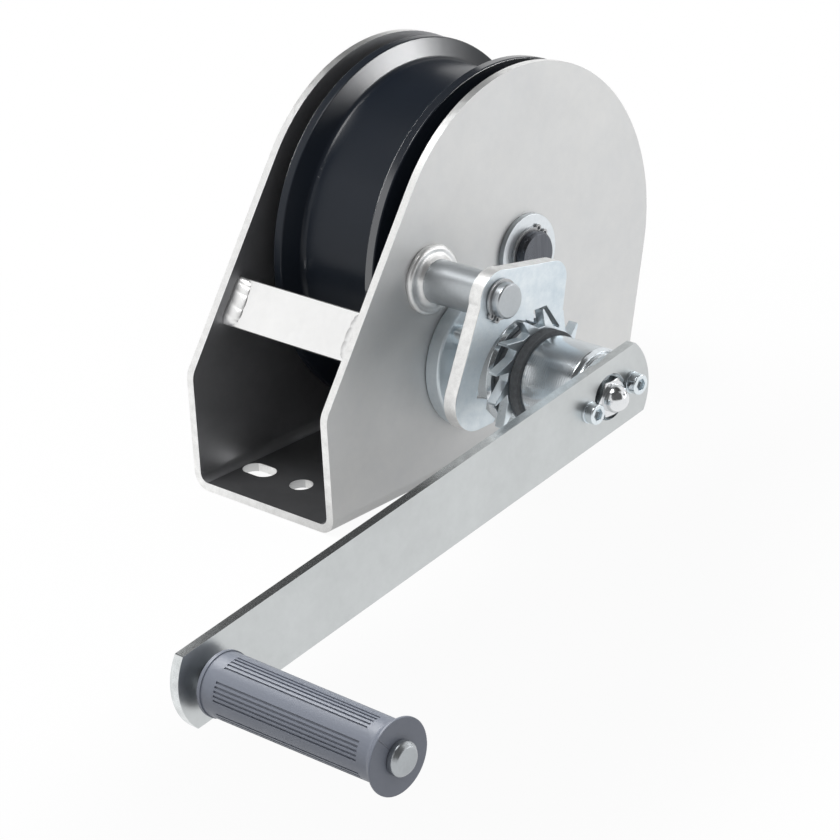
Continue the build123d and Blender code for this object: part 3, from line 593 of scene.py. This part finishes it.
def make_finishes(colours):
    """Every shared effect, then every finish of the winch."""
    build_mottle()
    build_grain()
    build_drawn_lines()
    build_turning_marks()
    bright = colours.bright
    dull = scaled(bright, 0.78)
    make_sheet_finish(colours.sheet_shade, colours.sheet)
    # Painted shade on the bracket's inner faces, darkest on the floor of the box
    make_painted_shade_finish("sheet_inside_painted_shade", colours.inside)
    make_painted_shade_finish("sheet_floor_painted_shade", scaled(colours.inside, 0.42))
    make_rim_finish(colours.rim)
    make_bar_finish(colours.bar)
    make_weld_finish(colours.bar)
    make_zinc_finish("bearing_zinc", colours, cloud=(38.0, 2.2), rough=0.42, shade_share=0.6)
    make_zinc_finish("pawl_zinc", colours, cloud=(30.0, 2.6), rough=0.38)
    make_zinc_finish("ratchet_zinc", colours, cloud=(60.0, 2.2), rough=0.30)
    make_zinc_finish("screw_zinc", colours, cloud=(180.0, 1.8), rough=0.24, shade_share=0.6)
    make_turned_finish("turned_hub", bright, dull, SHAFT, rough=0.18)
    make_turned_finish("turned_post", scaled(bright, 0.66), scaled(bright, 0.54), POST, rough=0.34)
    make_turned_finish("turned_washer", bright, dull, AXLE, rough=0.30)
    make_turned_finish("turned_pin", scaled(bright, 0.60), scaled(bright, 0.44), HANDLE, rough=0.36)
    make_turned_finish("bush_bronze", colours.bronze, scaled(colours.bronze, 0.6), AXLE, rough=0.34)
    make_turned_finish("gear_steel", colours.gear, scaled(colours.gear, 0.6), AXLE, rough=0.36)
    make_turned_finish(
        "chrome_nut", colours.chrome, colours.chrome_shade, SHAFT, rough=0.18, marks_scale=500.0, marks=0.03
    )
    make_enamel_finish("drum_enamel", colours.enamel, index=1.31, rough=0.27)
    # Shinier copy of the drum's enamel for the near flange's lip: a painted highlight along that edge
    make_enamel_finish("lip_enamel_highlight", colours.enamel, index=2.10, rough=0.14)
    make_lining_finish(colours.lining)
    make_arm_finish(colours.arm)
    make_arm_edge_finish(colours.arm)
    make_axle_finish(colours.axle)
    make_spring_finish(colours.spring)
    make_grip_finish(colours.grip)


def joined_copy(*nodes):
    """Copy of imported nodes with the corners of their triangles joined."""
    shape = bmesh.new()
    for node in nodes:
        shape.from_mesh(frame["nodes"][node].data)
    bmesh.ops.remove_doubles(shape, verts=shape.verts, dist=2e-6)
    return shape


def join_faces(shape):
    """Join triangles that lie in one plane to whole faces."""
    flat = math.radians(0.6)
    bmesh.ops.dissolve_limit(shape, angle_limit=flat, verts=shape.verts, edges=shape.edges)


def merged_copy(node):
    """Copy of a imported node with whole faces."""
    shape = joined_copy(node)
    join_faces(shape)
    return shape


def turned_ring(axis, profile, steps):
    """Ring turned about a line along Y from a closed outline of (out, radius) points in metres."""
    shape = bmesh.new()
    points = [shape.verts.new((axis.x, -out, axis.z + radius)) for out, radius in profile]
    for first, second in zip(points, points[1:] + points[:1]):
        shape.edges.new((first, second))
    bmesh.ops.spin(
        shape,
        geom=shape.verts[:] + shape.edges[:],
        cent=axis,
        axis=(0.0, 1.0, 0.0),
        angle=2.0 * math.pi,
        steps=steps,
        use_merge=True,
    )
    bmesh.ops.remove_doubles(shape, verts=shape.verts, dist=1e-6)
    bmesh.ops.recalc_face_normals(shape, faces=shape.faces)
    return shape


def link_mesh(name, shape, materials):
    """Object made from a finished shape."""
    mesh = bpy.data.meshes.new(name)
    shape.to_mesh(mesh)
    shape.free()
    for material in materials:
        mesh.materials.append(material)
    item = bpy.data.objects.new(name, mesh)
    bpy.context.collection.objects.link(item)
    return item


def place_piece(name, shape, finish_names, body, nodes, edge_round, round_segments=2):
    """Piece from a finished shape, with rounded edges, riding on its body."""
    sharp_corner = math.radians(28.0)
    piece = link_mesh(name, shape, [finishes[finish_name] for finish_name in finish_names])
    piece.data.shade_smooth()
    if edge_round > 0.0:
        rounding = piece.modifiers.new("edge_round", "BEVEL")
        rounding.width = edge_round
        rounding.segments = round_segments
        rounding.limit_method = "ANGLE"
        rounding.angle_limit = sharp_corner
        piece.modifiers.new("even_shading", "WEIGHTED_NORMAL").keep_sharp = True
    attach(piece, body)
    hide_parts(*nodes)


def place_copies(*rows):
    """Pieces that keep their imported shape; a second finish is for the cut edges, the faces along Y."""
    for node, name, finish_names, body, slot, edge_round in rows:
        shape = merged_copy(node)
        if len(finish_names) > 1:
            for face in shape.faces:
                if abs(face.normal.y) < 0.2:
                    face.material_index = 1
        place_piece(name, shape, finish_names, body, [node], edge_round)


def finish_node(node, finish_name):
    """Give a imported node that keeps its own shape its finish."""
    mesh = frame["nodes"][node].data
    mesh.materials.clear()
    mesh.materials.append(finishes[finish_name])


class WINCH_OT_bracket(Operator):
    """Bent sheet bracket with bright sheared rims"""

    bl_idname = "winch.bracket"
    bl_label = "Bracket"

    def execute(self, context):
        sizes = context.scene.winch_sizes
        names = ["rolled_sheet", "sheared_rim", "sheet_inside_painted_shade", "sheet_floor_painted_shade"]
        shape = merged_copy("bracket")
        _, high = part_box("bracket")
        slack = 0.0005
        bend = sizes.sheet_bend
        inner_half = high.y - sizes.sheet
        for face in shape.faces:
            middle = face.calc_center_median()
            in_wall = abs(middle.y) > inner_half - slack and middle.z > bend + 2.0 * slack
            to_bend = math.hypot(abs(middle.y) - high.y + bend, middle.z - bend)
            in_bend = abs(middle.y) > high.y - bend and middle.z < bend
            inner_bend = in_bend and to_bend < 0.75 * bend
            inner_wall = abs(middle.y) < inner_half + 0.2 * slack
            inner_flat = not in_bend and inner_wall and middle.z > sizes.sheet - slack
            # Inner faces take the darker finishes, painted shade in the box's interior, darkest on its floor
            if (in_wall and abs(face.normal.y) < 0.2) or abs(face.normal.x) > 0.9:
                face.material_index = names.index("sheared_rim")
            elif inner_flat and face.normal.z > 0.9:
                face.material_index = names.index("sheet_floor_painted_shade")
            elif inner_bend or inner_flat:
                face.material_index = names.index("sheet_inside_painted_shade")
        place_piece(
            "bracket_sheet", shape, names, "frame", ["bracket"], sizes.sheet_round
        )
        return {"FINISHED"}


def cut_off(shape, point, normal):
    """Cut away what lies beyond a plane."""
    bmesh.ops.bisect_plane(
        shape,
        geom=shape.verts[:] + shape.edges[:] + shape.faces[:],
        dist=1e-7,
        plane_co=point,
        plane_no=normal,
        clear_outer=True,
    )


def cut_flush(shape, point, normal):
    """Cut away what lies beyond a plane, and close the cut."""
    cut_off(shape, point, normal)
    bmesh.ops.holes_fill(shape, edges=[edge for edge in shape.edges if edge.is_boundary])


def bead_bar(ripples):
    """Rippled bar of unit size along Z, with its scales pointing up and its ends drawn in."""
    ripple_depth = 0.06
    sharpness = 0.35
    wander = 0.28
    bow = 0.9
    unevenness = 0.04
    drawn_ends = 0.45
    shape = bmesh.new()
    bmesh.ops.create_cone(shape, cap_ends=True, segments=48, radius1=1.0, radius2=1.0, depth=1.0)
    sides = [edge for edge in shape.edges if abs(edge.verts[0].co.z - edge.verts[1].co.z) > 0.5]
    bmesh.ops.subdivide_edges(shape, edges=sides, cuts=80, use_grid_fill=True)
    for vert in shape.verts:
        along = vert.co.z + 0.5
        turn = math.atan2(vert.co.y, vert.co.x) - 0.25 * math.pi
        phase = ripples * along + wander * math.sin(7.0 * along) - bow * turn * turn
        scale = 1.0 - ripple_depth + ripple_depth * abs(math.sin(math.pi * phase)) ** sharpness
        scale *= 1.0 + unevenness * math.sin(5.0 * along + 2.0 * turn)
        scale *= 1.0 - drawn_ends * abs(2.0 * along - 1.0) ** 9
        vert.co.x *= scale
        vert.co.y *= scale
    return shape


def bar_weld_shape(sizes):
    """Rippled bead in the corner between the bar's front face and each side plate."""
    _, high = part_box("cross_bar")
    weld_low, weld_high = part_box("cross_bar_welds")
    spread = weld_high - weld_low
    rise = math.sin(sizes.bar_slope)
    run = math.cos(sizes.bar_slope)
    down = Vector((-run, 0.0, -rise))
    outward = Vector((-rise, 0.0, run))
    reach = (spread.x * rise - spread.z * run) / (rise**2 - run**2)
    top = Vector((weld_high.x, 0.0, weld_high.z - outward.z * reach))
    foot = Vector((weld_low.x - outward.x * reach, 0.0, weld_low.z))
    length = (top - foot).length
    fullness = 2.2
    crown = fullness * outward * sizes.bead_height
    sunk = (fullness - 1.0) * outward * sizes.bead_height
    toe_reach = 1.15 * sizes.bead_leg
    whole = bmesh.new()
    for side in (-1.0, 1.0):
        shape = bead_bar(sizes.bead_ripples)
        plate = Vector((0.0, side * high.y, 0.0))
        inner = Vector((0.0, -side * toe_reach, 0.0))
        turn = Matrix((inner, crown, -down * length)).transposed().to_4x4()
        place = Matrix.Translation(foot.lerp(top, 0.5) + plate - sunk) @ turn
        bmesh.ops.transform(shape, verts=shape.verts, matrix=place)
        cut_flush(shape, plate, Vector((0.0, side, 0.0)))
        cut_flush(shape, top, -outward)
        mesh = bpy.data.meshes.new("bar_weld_side")
        shape.to_mesh(mesh)
        shape.free()
        whole.from_mesh(mesh)
        bpy.data.meshes.remove(mesh)
    bmesh.ops.recalc_face_normals(whole, faces=whole.faces)
    return whole


def post_weld_shape(sizes):
    """Swollen weld ring round the post's foot, a little uneven along its length."""
    low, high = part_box("pawl_post_weld")
    plate_out = -high.y
    leg = -low.y - plate_out
    outer = 0.5 * (high.x - low.x)
    root = outer - leg
    toe = [(0.0, 0.0), (0.0, 1.15), (0.20, 1.20), (0.40, 1.15), (0.55, 1.02), (0.61, 0.84)]
    throat = [(0.59, 0.68), (0.60, 0.52), (0.68, 0.34), (0.82, 0.16), (1.0, 0.04), (1.02, 0.0)]
    profile = [(plate_out + leg * out, root + leg * reach) for out, reach in toe + throat]
    shape = turned_ring(POST, profile, sizes.turn_steps)
    slow_swell = 0.035
    quick_swell = 0.020
    for vert in shape.verts:
        spoke = Vector((vert.co.x - POST.x, 0.0, vert.co.z - POST.z))
        height = -vert.co.y - plate_out
        angle = math.atan2(spoke.z, spoke.x)
        swell = slow_swell * math.sin(3.0 * angle + 0.7) + quick_swell * math.sin(7.0 * angle)
        if spoke.length > root + 0.05 * leg:
            vert.co += spoke.normalized() * (leg * swell)
            vert.co.y -= height * swell
    return shape


class WINCH_OT_cross_bar(Operator):
    """Flat cross bar and the rippled welds at its ends"""

    bl_idname = "winch.cross_bar"
    bl_label = "Cross bar"

    def execute(self, context):
        sizes = context.scene.winch_sizes
        place_copies(("cross_bar", "flat_bar", ["bar_zinc"], "frame", "zinc_bar", sizes.bar_round))
        shape = bar_weld_shape(sizes)
        nodes = ["cross_bar_welds"]
        place_piece("bar_welds", shape, ["weld_bead"], "frame", nodes, edge_round=0.0)
        return {"FINISHED"}


class WINCH_OT_drum(Operator):
    """Enamelled rope drum and its ring gear"""

    bl_idname = "winch.drum"
    bl_label = "Drum"

    def execute(self, context):
        sizes = context.scene.winch_sizes
        nodes = ["drum_core", "near_flange", "far_flange"]
        shape = joined_copy(*nodes)
        low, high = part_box("near_flange")
        # Faces where the flanges meet the core
        hidden = []
        for face in shape.faces:
            gap = abs(face.calc_center_median().y) + high.y
            if abs(face.normal.y) > 0.99 and abs(gap) < 1e-5:
                hidden.append(face)
        bmesh.ops.delete(shape, geom=hidden, context="FACES")
        join_faces(shape)
        # Faces of the near flange's lip take the shinier enamel, which paints a highlight along its edge
        lip_radius = 0.5 * (high.x - low.x) - sizes.lip_depth
        for face in shape.faces:
            centre = face.calc_center_median()
            spoke = math.hypot(centre.x - AXLE.x, centre.z - AXLE.z)
            if centre.y < 0.0 and spoke > lip_radius and abs(face.normal.y) < 0.1:
                face.material_index = 1
        names = ["drum_enamel", "lip_enamel_highlight"]
        place_piece("rope_drum", shape, names, "drum", nodes, sizes.turned_round)
        finish_node("ring_gear", "gear_steel")
        finish_node("drum_bushes", "bush_bronze")
        return {"FINISHED"}


class WINCH_OT_axle(Operator):
    """Drum axle with its washers, rings and spacers"""

    bl_idname = "winch.axle"
    bl_label = "Axle"

    def execute(self, context):
        sizes = context.scene.winch_sizes
        small = sizes.small_round
        place_copies(
            ("drum_axle", "axle_bar", ["oiled_axle"], "frame", "dark_steel", small),
            ("axle_washers", "axle_washer_pair", ["turned_washer"], "frame", "turned_zinc", 2.0 * small),
            ("axle_circlips", "axle_ring_pair", ["spring_steel"], "frame", "spring_steel", small),
        )
        finish_node("drum_spacers", "bush_bronze")
        return {"FINISHED"}


class WINCH_OT_bearing(Operator):
    """Flanged shaft bearing and its screws"""

    bl_idname = "winch.bearing"
    bl_label = "Bearing"

    def execute(self, context):
        sizes = context.scene.winch_sizes
        small = sizes.small_round
        turned = sizes.turned_round
        place_copies(
            ("bearing_flange", "bearing_housing", ["bearing_zinc"], "frame", "zinc_plate", turned),
            ("bearing_screws", "bearing_cap_screws", ["screw_zinc"], "frame", "screw_zinc", small),
        )
        finish_node("shaft_bushes", "bush_bronze")
        return {"FINISHED"}


class WINCH_OT_brake(Operator):
    """Pressure disc, friction discs and ratchet wheel on the pinion shaft"""

    bl_idname = "winch.brake"
    bl_label = "Brake"

    def execute(self, context):
        sizes = context.scene.winch_sizes
        lining = sizes.lining_round
        lined = ["friction_lining"]
        small = sizes.small_round
        tooth = sizes.tooth_round
        place_copies(
            ("pressure_disc", "brake_disc", ["turned_hub"], "drive", "turned_zinc", small),
            ("inner_friction_disc", "inner_lining", lined, "drive", "friction_lining", lining),
            ("outer_friction_disc", "outer_lining", lined, "crank", "friction_lining", lining),
            ("ratchet_wheel", "ratchet_teeth", ["ratchet_zinc"], "ratchet", "zinc_plate", tooth),
        )
        finish_node("pinion_shaft", "gear_steel")
        finish_node("thrust_washer", "bush_bronze")
        finish_node("ratchet_bush", "bush_bronze")
        return {"FINISHED"}


class WINCH_OT_pawl(Operator):
    """Anchor pawl on its welded post"""

    bl_idname = "winch.pawl"
    bl_label = "Pawl"

    def execute(self, context):
        sizes = context.scene.winch_sizes
        face_and_edge = ["pawl_zinc", "sheared_rim"]
        small = sizes.small_round
        place_copies(
            ("pawl", "anchor_pawl", face_and_edge, "pawl", "zinc_plate", sizes.plate_round),
            ("pawl_post", "welded_post", ["turned_post"], "frame", "turned_zinc", sizes.nut_round),
            ("pawl_circlip", "post_ring", ["spring_steel"], "frame", "spring_steel", small),
        )
        shape = post_weld_shape(sizes)
        nodes = ["pawl_post_weld"]
        place_piece("post_weld", shape, ["weld_bead"], "frame", nodes, edge_round=0.0)
        return {"FINISHED"}


class WINCH_OT_crank(Operator):
    """Crank hub, arm and their fasteners"""

    bl_idname = "winch.crank"
    bl_label = "Crank"

    def execute(self, context):
        sizes = context.scene.winch_sizes
        face_and_edge = ["arm_plate", "arm_edge"]
        small = sizes.small_round
        place_copies(
            ("crank_hub", "hub_barrel", ["turned_hub"], "crank", "turned_zinc", sizes.turned_round),
            ("crank_arm", "arm_bar", face_and_edge, "crank", "arm_plate", sizes.bar_round),
            ("arm_lock_washers", "arm_spring_washers", ["screw_zinc"], "crank", "screw_zinc", small),
            ("arm_screws", "arm_cap_screws", ["screw_zinc"], "crank", "screw_zinc", small),
            ("nut_washer", "stud_washer", ["turned_hub"], "drive", "turned_zinc", small),
            ("cap_nut", "domed_nut", ["chrome_nut"], "drive", "nut_chrome", sizes.nut_round),
        )
        return {"FINISHED"}


class WINCH_OT_handle(Operator):
    """Handle pin and fluted grip"""

    bl_idname = "winch.handle"
    bl_label = "Handle"

    def execute(self, context):
        sizes = context.scene.winch_sizes
        shape = merged_copy("handle_pin")
        place_piece(
            "grip_pin",
            shape,
            ["turned_pin"],
            "crank",
            ["handle_pin"],
            sizes.pin_round,
            round_segments=3,
        )
        shape = merged_copy("grip")
        low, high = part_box("grip")
        middle = 0.5 * (low.y + high.y)
        bore = 0.75 * sizes.groove_floor
        for vert in shape.verts:
            spoke = Vector((vert.co.x - HANDLE.x, 0.0, vert.co.z - HANDLE.z))
            if vert.co.y < middle and bore < spoke.length < sizes.groove_floor:
                vert.co -= spoke.normalized() * sizes.groove_fall
        small = sizes.small_round
        place_piece("fluted_grip", shape, ["grip_plastic"], "grip", ["grip"], small)
        return {"FINISHED"}


def aim_at(place, target):
    """Matrix of a lamp or card at a place that faces a target."""
    place = Vector(place)
    turn = (Vector(target) - place).to_track_quat("-Z", "Y")
    return Matrix.Translation(place) @ turn.to_matrix().to_4x4()


def add_softbox(name, place, target, width, height, power):
    """Area lamp that shines at a target."""
    lamp = bpy.data.lights.new(name, "AREA")
    lamp.shape = "RECTANGLE"
    lamp.size = width
    lamp.size_y = height
    lamp.energy = power
    softbox = bpy.data.objects.new(name, lamp)
    softbox.matrix_world = aim_at(place, target)
    bpy.context.collection.objects.link(softbox)


def add_flags(tree):
    """Light Path's camera, glossy and transmission rays as one factor."""
    path = add_node(tree, "ShaderNodeLightPath")
    direct = add_math(tree, "MAXIMUM", path.outputs["Is Camera Ray"], path.outputs["Is Glossy Ray"])
    return add_math(tree, "MAXIMUM", direct, path.outputs["Is Transmission Ray"])


def build_world():
    """White where it is seen or mirrored; as light, a pale room that is brightest above."""
    world = bpy.data.worlds.new("studio")
    bpy.context.scene.world = world
    world.use_nodes = True
    tree = world.node_tree
    tree.nodes.clear()
    leave = add_node(tree, "ShaderNodeOutputWorld")
    room = add_node(tree, "ShaderNodeBackground")
    white = add_node(tree, "ShaderNodeBackground", values={"Color": (1.0, 1.0, 1.0, 1.0)})
    chosen = add_node(tree, "ShaderNodeMixShader")
    seen = add_flags(tree)
    direction = add_node(tree, "ShaderNodeTexCoord")
    parts = add_node(tree, "ShaderNodeSeparateXYZ")
    levels = add_node(tree, "ShaderNodeValToRGB")
    stops = levels.color_ramp.elements
    stops[0].position = 0.0
    stops[0].color = (0.22, 0.22, 0.225, 1.0)
    stops[1].position = 0.8
    stops[1].color = (0.80, 0.80, 0.81, 1.0)
    join = tree.links.new
    join(direction.outputs["Generated"], parts.inputs[0])
    join(parts.outputs["Z"], levels.inputs["Fac"])
    join(levels.outputs["Color"], room.inputs["Color"])
    join(seen, chosen.inputs["Fac"])
    join(room.outputs[0], chosen.inputs[1])
    join(white.outputs[0], chosen.inputs[2])
    join(chosen.outputs[0], leave.inputs["Surface"])


def link_stage(name, shape, finish):
    """Object of the studio, not of the winch."""
    item = link_mesh(name, shape, [finish])
    return item


def extend_floor(shape, edge, shift):
    """Flat stretch of the floor, from its last edge; returns the new last edge."""
    grown = bmesh.ops.extrude_edge_only(shape, edges=[edge])["geom"]
    ends = [part for part in grown if isinstance(part, bmesh.types.BMVert)]
    bmesh.ops.translate(shape, verts=ends, vec=shift)
    return shape.edges.get(ends)


def roll_floor(shape, edge, pivot, angle):
    """Rolled stretch of the floor, a quarter turn from its last edge; returns the new last edge."""
    rolled = bmesh.ops.spin(
        shape, geom=[*edge.verts, edge], cent=pivot, axis=(1.0, 0.0, 0.0), angle=angle, steps=24
    )
    return next(part for part in rolled["geom_last"] if isinstance(part, bmesh.types.BMEdge))


def floor_shape(stage):
    """Bench under the bracket, with a rolled edge and a drop that leaves the crank room to turn."""
    top = -0.0005
    wide = 6.0
    face = stage.bench_edge - stage.bench_round
    foot = stage.cove_round - stage.bench_drop
    quarter = 0.5 * math.pi
    shape = bmesh.new()
    edge = shape.edges.new([shape.verts.new((side * wide, wide, top)) for side in (-1.0, 1.0)])
    edge = extend_floor(shape, edge, (0.0, stage.bench_edge - wide, 0.0))
    edge = roll_floor(shape, edge, (0.0, stage.bench_edge, top - stage.bench_round), quarter)
    edge = extend_floor(shape, edge, (0.0, 0.0, foot - (top - stage.bench_round)))
    edge = roll_floor(shape, edge, (0.0, face - stage.cove_round, foot), -quarter)
    extend_floor(shape, edge, (0.0, -wide, 0.0))
    for part in shape.faces:
        part.smooth = True
    bmesh.ops.recalc_face_normals(shape, faces=shape.faces)
    return shape


def add_distance(tree, middle, near, far, level):
    """Value that rises smoothly from a level near a place to 1 far from it."""
    place = add_node(tree, "ShaderNodeTexCoord")
    reach = add_node(tree, "ShaderNodeVectorMath", {"operation": "DISTANCE"})
    reach.inputs[1].default_value = middle
    span = {"From Min": near, "From Max": far, "To Min": level}
    fade = add_node(tree, "ShaderNodeMapRange", {"interpolation_type": "SMOOTHSTEP"}, span)
    tree.links.new(place.outputs["Object"], reach.inputs[0])
    tree.links.new(reach.outputs["Value"], fade.inputs["Value"])
    return fade.outputs["Result"]


def build_floor(stage):
    """White floor that keeps a faint shadow near the winch and is plain white further off."""
    finish = bpy.data.materials.new("floor_paper")
    finish.use_nodes = True
    tree = finish.node_tree
    shader = tree.nodes["Principled BSDF"]
    leave = tree.nodes["Material Output"]
    shader.inputs["Base Color"].default_value = (0.72, 0.72, 0.72, 1.0)
    shader.inputs["Roughness"].default_value = 0.9
    glow = add_node(tree, "ShaderNodeEmission")
    chosen = add_node(tree, "ShaderNodeMixShader")
    near_white = 0.94
    shadow_near = 0.12
    shadow_far = 0.42
    fade = add_distance(tree, stage.shadow_place, shadow_near, shadow_far, near_white)
    join = tree.links.new
    join(add_math(tree, "MULTIPLY", add_flags(tree), fade), chosen.inputs["Fac"])
    join(shader.outputs[0], chosen.inputs[1])
    join(glow.outputs[0], chosen.inputs[2])
    join(chosen.outputs[0], leave.inputs["Surface"])
    link_stage("floor", floor_shape(stage), finish)


def start_card(name):
    """Glowing material of a studio card; returns it with its tree and its emission node."""
    finish = bpy.data.materials.new(name)
    finish.use_nodes = True
    tree = finish.node_tree
    tree.nodes.remove(tree.nodes["Principled BSDF"])
    glow = add_node(tree, "ShaderNodeEmission")
    tree.links.new(glow.outputs[0], tree.nodes["Material Output"].inputs["Surface"])
    return finish, tree, glow


def hide_card(card):
    """Leave a card visible in reflections alone."""
    for rays in ("camera", "diffuse", "transmission", "volume_scatter", "shadow"):
        setattr(card, f"visible_{rays}", False)


def build_painted_shadow_card(stage):
    """Round grey card in front of the winch, fading to white at its edge: a painted shadow of the winch on
    the floor, seen only in reflections.
    """
    shape = bmesh.new()
    bmesh.ops.create_circle(shape, cap_ends=True, segments=64, radius=stage.shadow_card_reach)
    bmesh.ops.translate(shape, verts=shape.verts, vec=stage.shadow_place)
    cut_off(shape, (0.0, stage.shadow_card_edge, 0.0), (0.0, -1.0, 0.0))
    finish, tree, glow = start_card("grey_card")
    full_shadow = 0.04
    level = add_distance(tree, stage.shadow_place, full_shadow, stage.shadow_card_reach, stage.shadow_card_level)
    tree.links.new(level, glow.inputs["Color"])
    hide_card(link_stage("grey_card", shape, finish))


def add_card(name, place, target, width, height, level, piece=None):
    """Studio card that only shows in reflections, of one piece alone where it is given."""
    shape = bmesh.new()
    bmesh.ops.create_grid(shape, x_segments=1, y_segments=1, size=0.5)
    bmesh.ops.scale(shape, verts=shape.verts, vec=(width, height, 1.0))
    bmesh.ops.transform(shape, verts=shape.verts, matrix=aim_at(place, target))
    finish, _, glow = start_card(name)
    glow.inputs["Strength"].default_value = level
    card = link_stage(name, shape, finish)
    hide_card(card)
    if piece is not None:
        lit = bpy.data.collections.new(name)
        lit.objects.link(bpy.data.objects[piece])
        card.light_linking.receiver_collection = lit


def add_camera(stage):
    """Camera at its place, turned by azimuth, elevation and roll."""
    right = Vector((math.cos(stage.azimuth), math.sin(stage.azimuth), 0.0))
    flat = math.cos(stage.elevation)
    rise = math.sin(stage.elevation)
    back = Vector((math.sin(stage.azimuth) * flat, -math.cos(stage.azimuth) * flat, rise))
    up = back.cross(right)
    rolled_right = math.cos(stage.roll) * right + math.sin(stage.roll) * up
    rolled_up = -math.sin(stage.roll) * right + math.cos(stage.roll) * up
    lens = bpy.data.cameras.new("photo_camera")
    lens.lens = stage.lens
    lens.sensor_width = 36.0
    camera = bpy.data.objects.new("photo_camera", lens)
    turn = Matrix((rolled_right, rolled_up, back)).transposed().to_4x4()
    camera.matrix_world = Matrix.Translation(stage.camera_place) @ turn
    bpy.context.collection.objects.link(camera)
    return camera


class WINCH_OT_studio(Operator):
    """Floor, light, cards and the camera"""

    bl_idname = "winch.studio"
    bl_label = "Studio"

    def execute(self, context):
        stage = context.scene.winch_stage
        context.scene.view_settings.view_transform = "Standard"
        build_world()
        build_floor(stage)
        # Painted shadow on the floor, seen only in reflections
        build_painted_shadow_card(stage)
        target = (-0.09, -0.05, 0.08)
        flange_top = (0.0, 0.02, 0.17)
        dark = 0.05
        dim = 0.10
        grip_level = 6.0
        rim_level = 0.4 * stage.drum_level
        add_softbox("top_light", (-0.35, 0.20, 1.1), target, 0.45, 0.45, stage.top_power)
        add_card("ceiling_card", (-0.15, 0.20, 1.25), (-0.15, 0.20, 0.0), 2.1, 2.0, dark)
        add_card("front_card", (-0.71, -1.13, 0.92), target, 2.8, 1.75, dim)
        add_card("low_card", (1.41, -0.51, 0.20), target, 0.8, 0.2, dark)
        add_card("arm_card", (0.03, 0.165, 0.31), (-0.2, -0.12, 0.06), 0.22, 0.2, dark)
        add_card("side_card", (1.05, -1.09, 0.42), target, 0.95, 0.5, stage.side_level)
        add_card("drum_card", (0.95, -1.10, 0.53), flange_top, 0.66, 0.36, stage.drum_level, "rope_drum")
        add_card("rim_card", (0.15, 1.40, 0.40), flange_top, 0.8, 0.4, rim_level, "rope_drum")
        add_card("grip_card", (0.0, 0.58, 0.92), HANDLE, 0.7, 0.5, grip_level, "fluted_grip")
        context.scene.camera = add_camera(stage)
        return {"FINISHED"}


PIECE_OPERATORS = (
    WINCH_OT_bracket,
    WINCH_OT_cross_bar,
    WINCH_OT_drum,
    WINCH_OT_axle,
    WINCH_OT_bearing,
    WINCH_OT_brake,
    WINCH_OT_pawl,
    WINCH_OT_crank,
    WINCH_OT_handle,
    WINCH_OT_studio,
)


class WINCH_PT_pieces(Panel):
    """Lists the winch's pieces and its settings"""

    bl_idname = "WINCH_PT_pieces"
    bl_label = "Winch"
    bl_space_type = "VIEW_3D"
    bl_region_type = "UI"
    bl_category = "Winch"

    def draw(self, context):
        column = self.layout.column(align=True)
        for operator in PIECE_OPERATORS:
            column.operator(operator.bl_idname)
        for group in (context.scene.winch_sizes, context.scene.winch_colours, context.scene.winch_stage):
            box = self.layout.box()
            for key in group.__annotations__:
                box.prop(group, key)


CLASSES = (WinchSizes, WinchColours, WinchStage, *PIECE_OPERATORS, WINCH_PT_pieces)


def register():
    """Register the classes and attach the settings to the scene."""
    for each in CLASSES:
        bpy.utils.register_class(each)
    bpy.types.Scene.winch_sizes = PointerProperty(type=WinchSizes)
    bpy.types.Scene.winch_colours = PointerProperty(type=WinchColours)
    bpy.types.Scene.winch_stage = PointerProperty(type=WinchStage)


def unregister():
    """Take the settings off the scene and unregister the classes."""
    del bpy.types.Scene.winch_stage
    del bpy.types.Scene.winch_colours
    del bpy.types.Scene.winch_sizes
    for each in reversed(CLASSES):
        bpy.utils.unregister_class(each)


def main():
    """Build the whole winch and its studio."""
    register()
    make_finishes(bpy.context.scene.winch_colours)
    bpy.ops.winch.bracket()
    bpy.ops.winch.cross_bar()
    bpy.ops.winch.drum()
    bpy.ops.winch.axle()
    bpy.ops.winch.bearing()
    bpy.ops.winch.brake()
    bpy.ops.winch.pawl()
    bpy.ops.winch.crank()
    bpy.ops.winch.handle()
    bpy.ops.winch.studio()


if __name__ == "__main__":
    main()
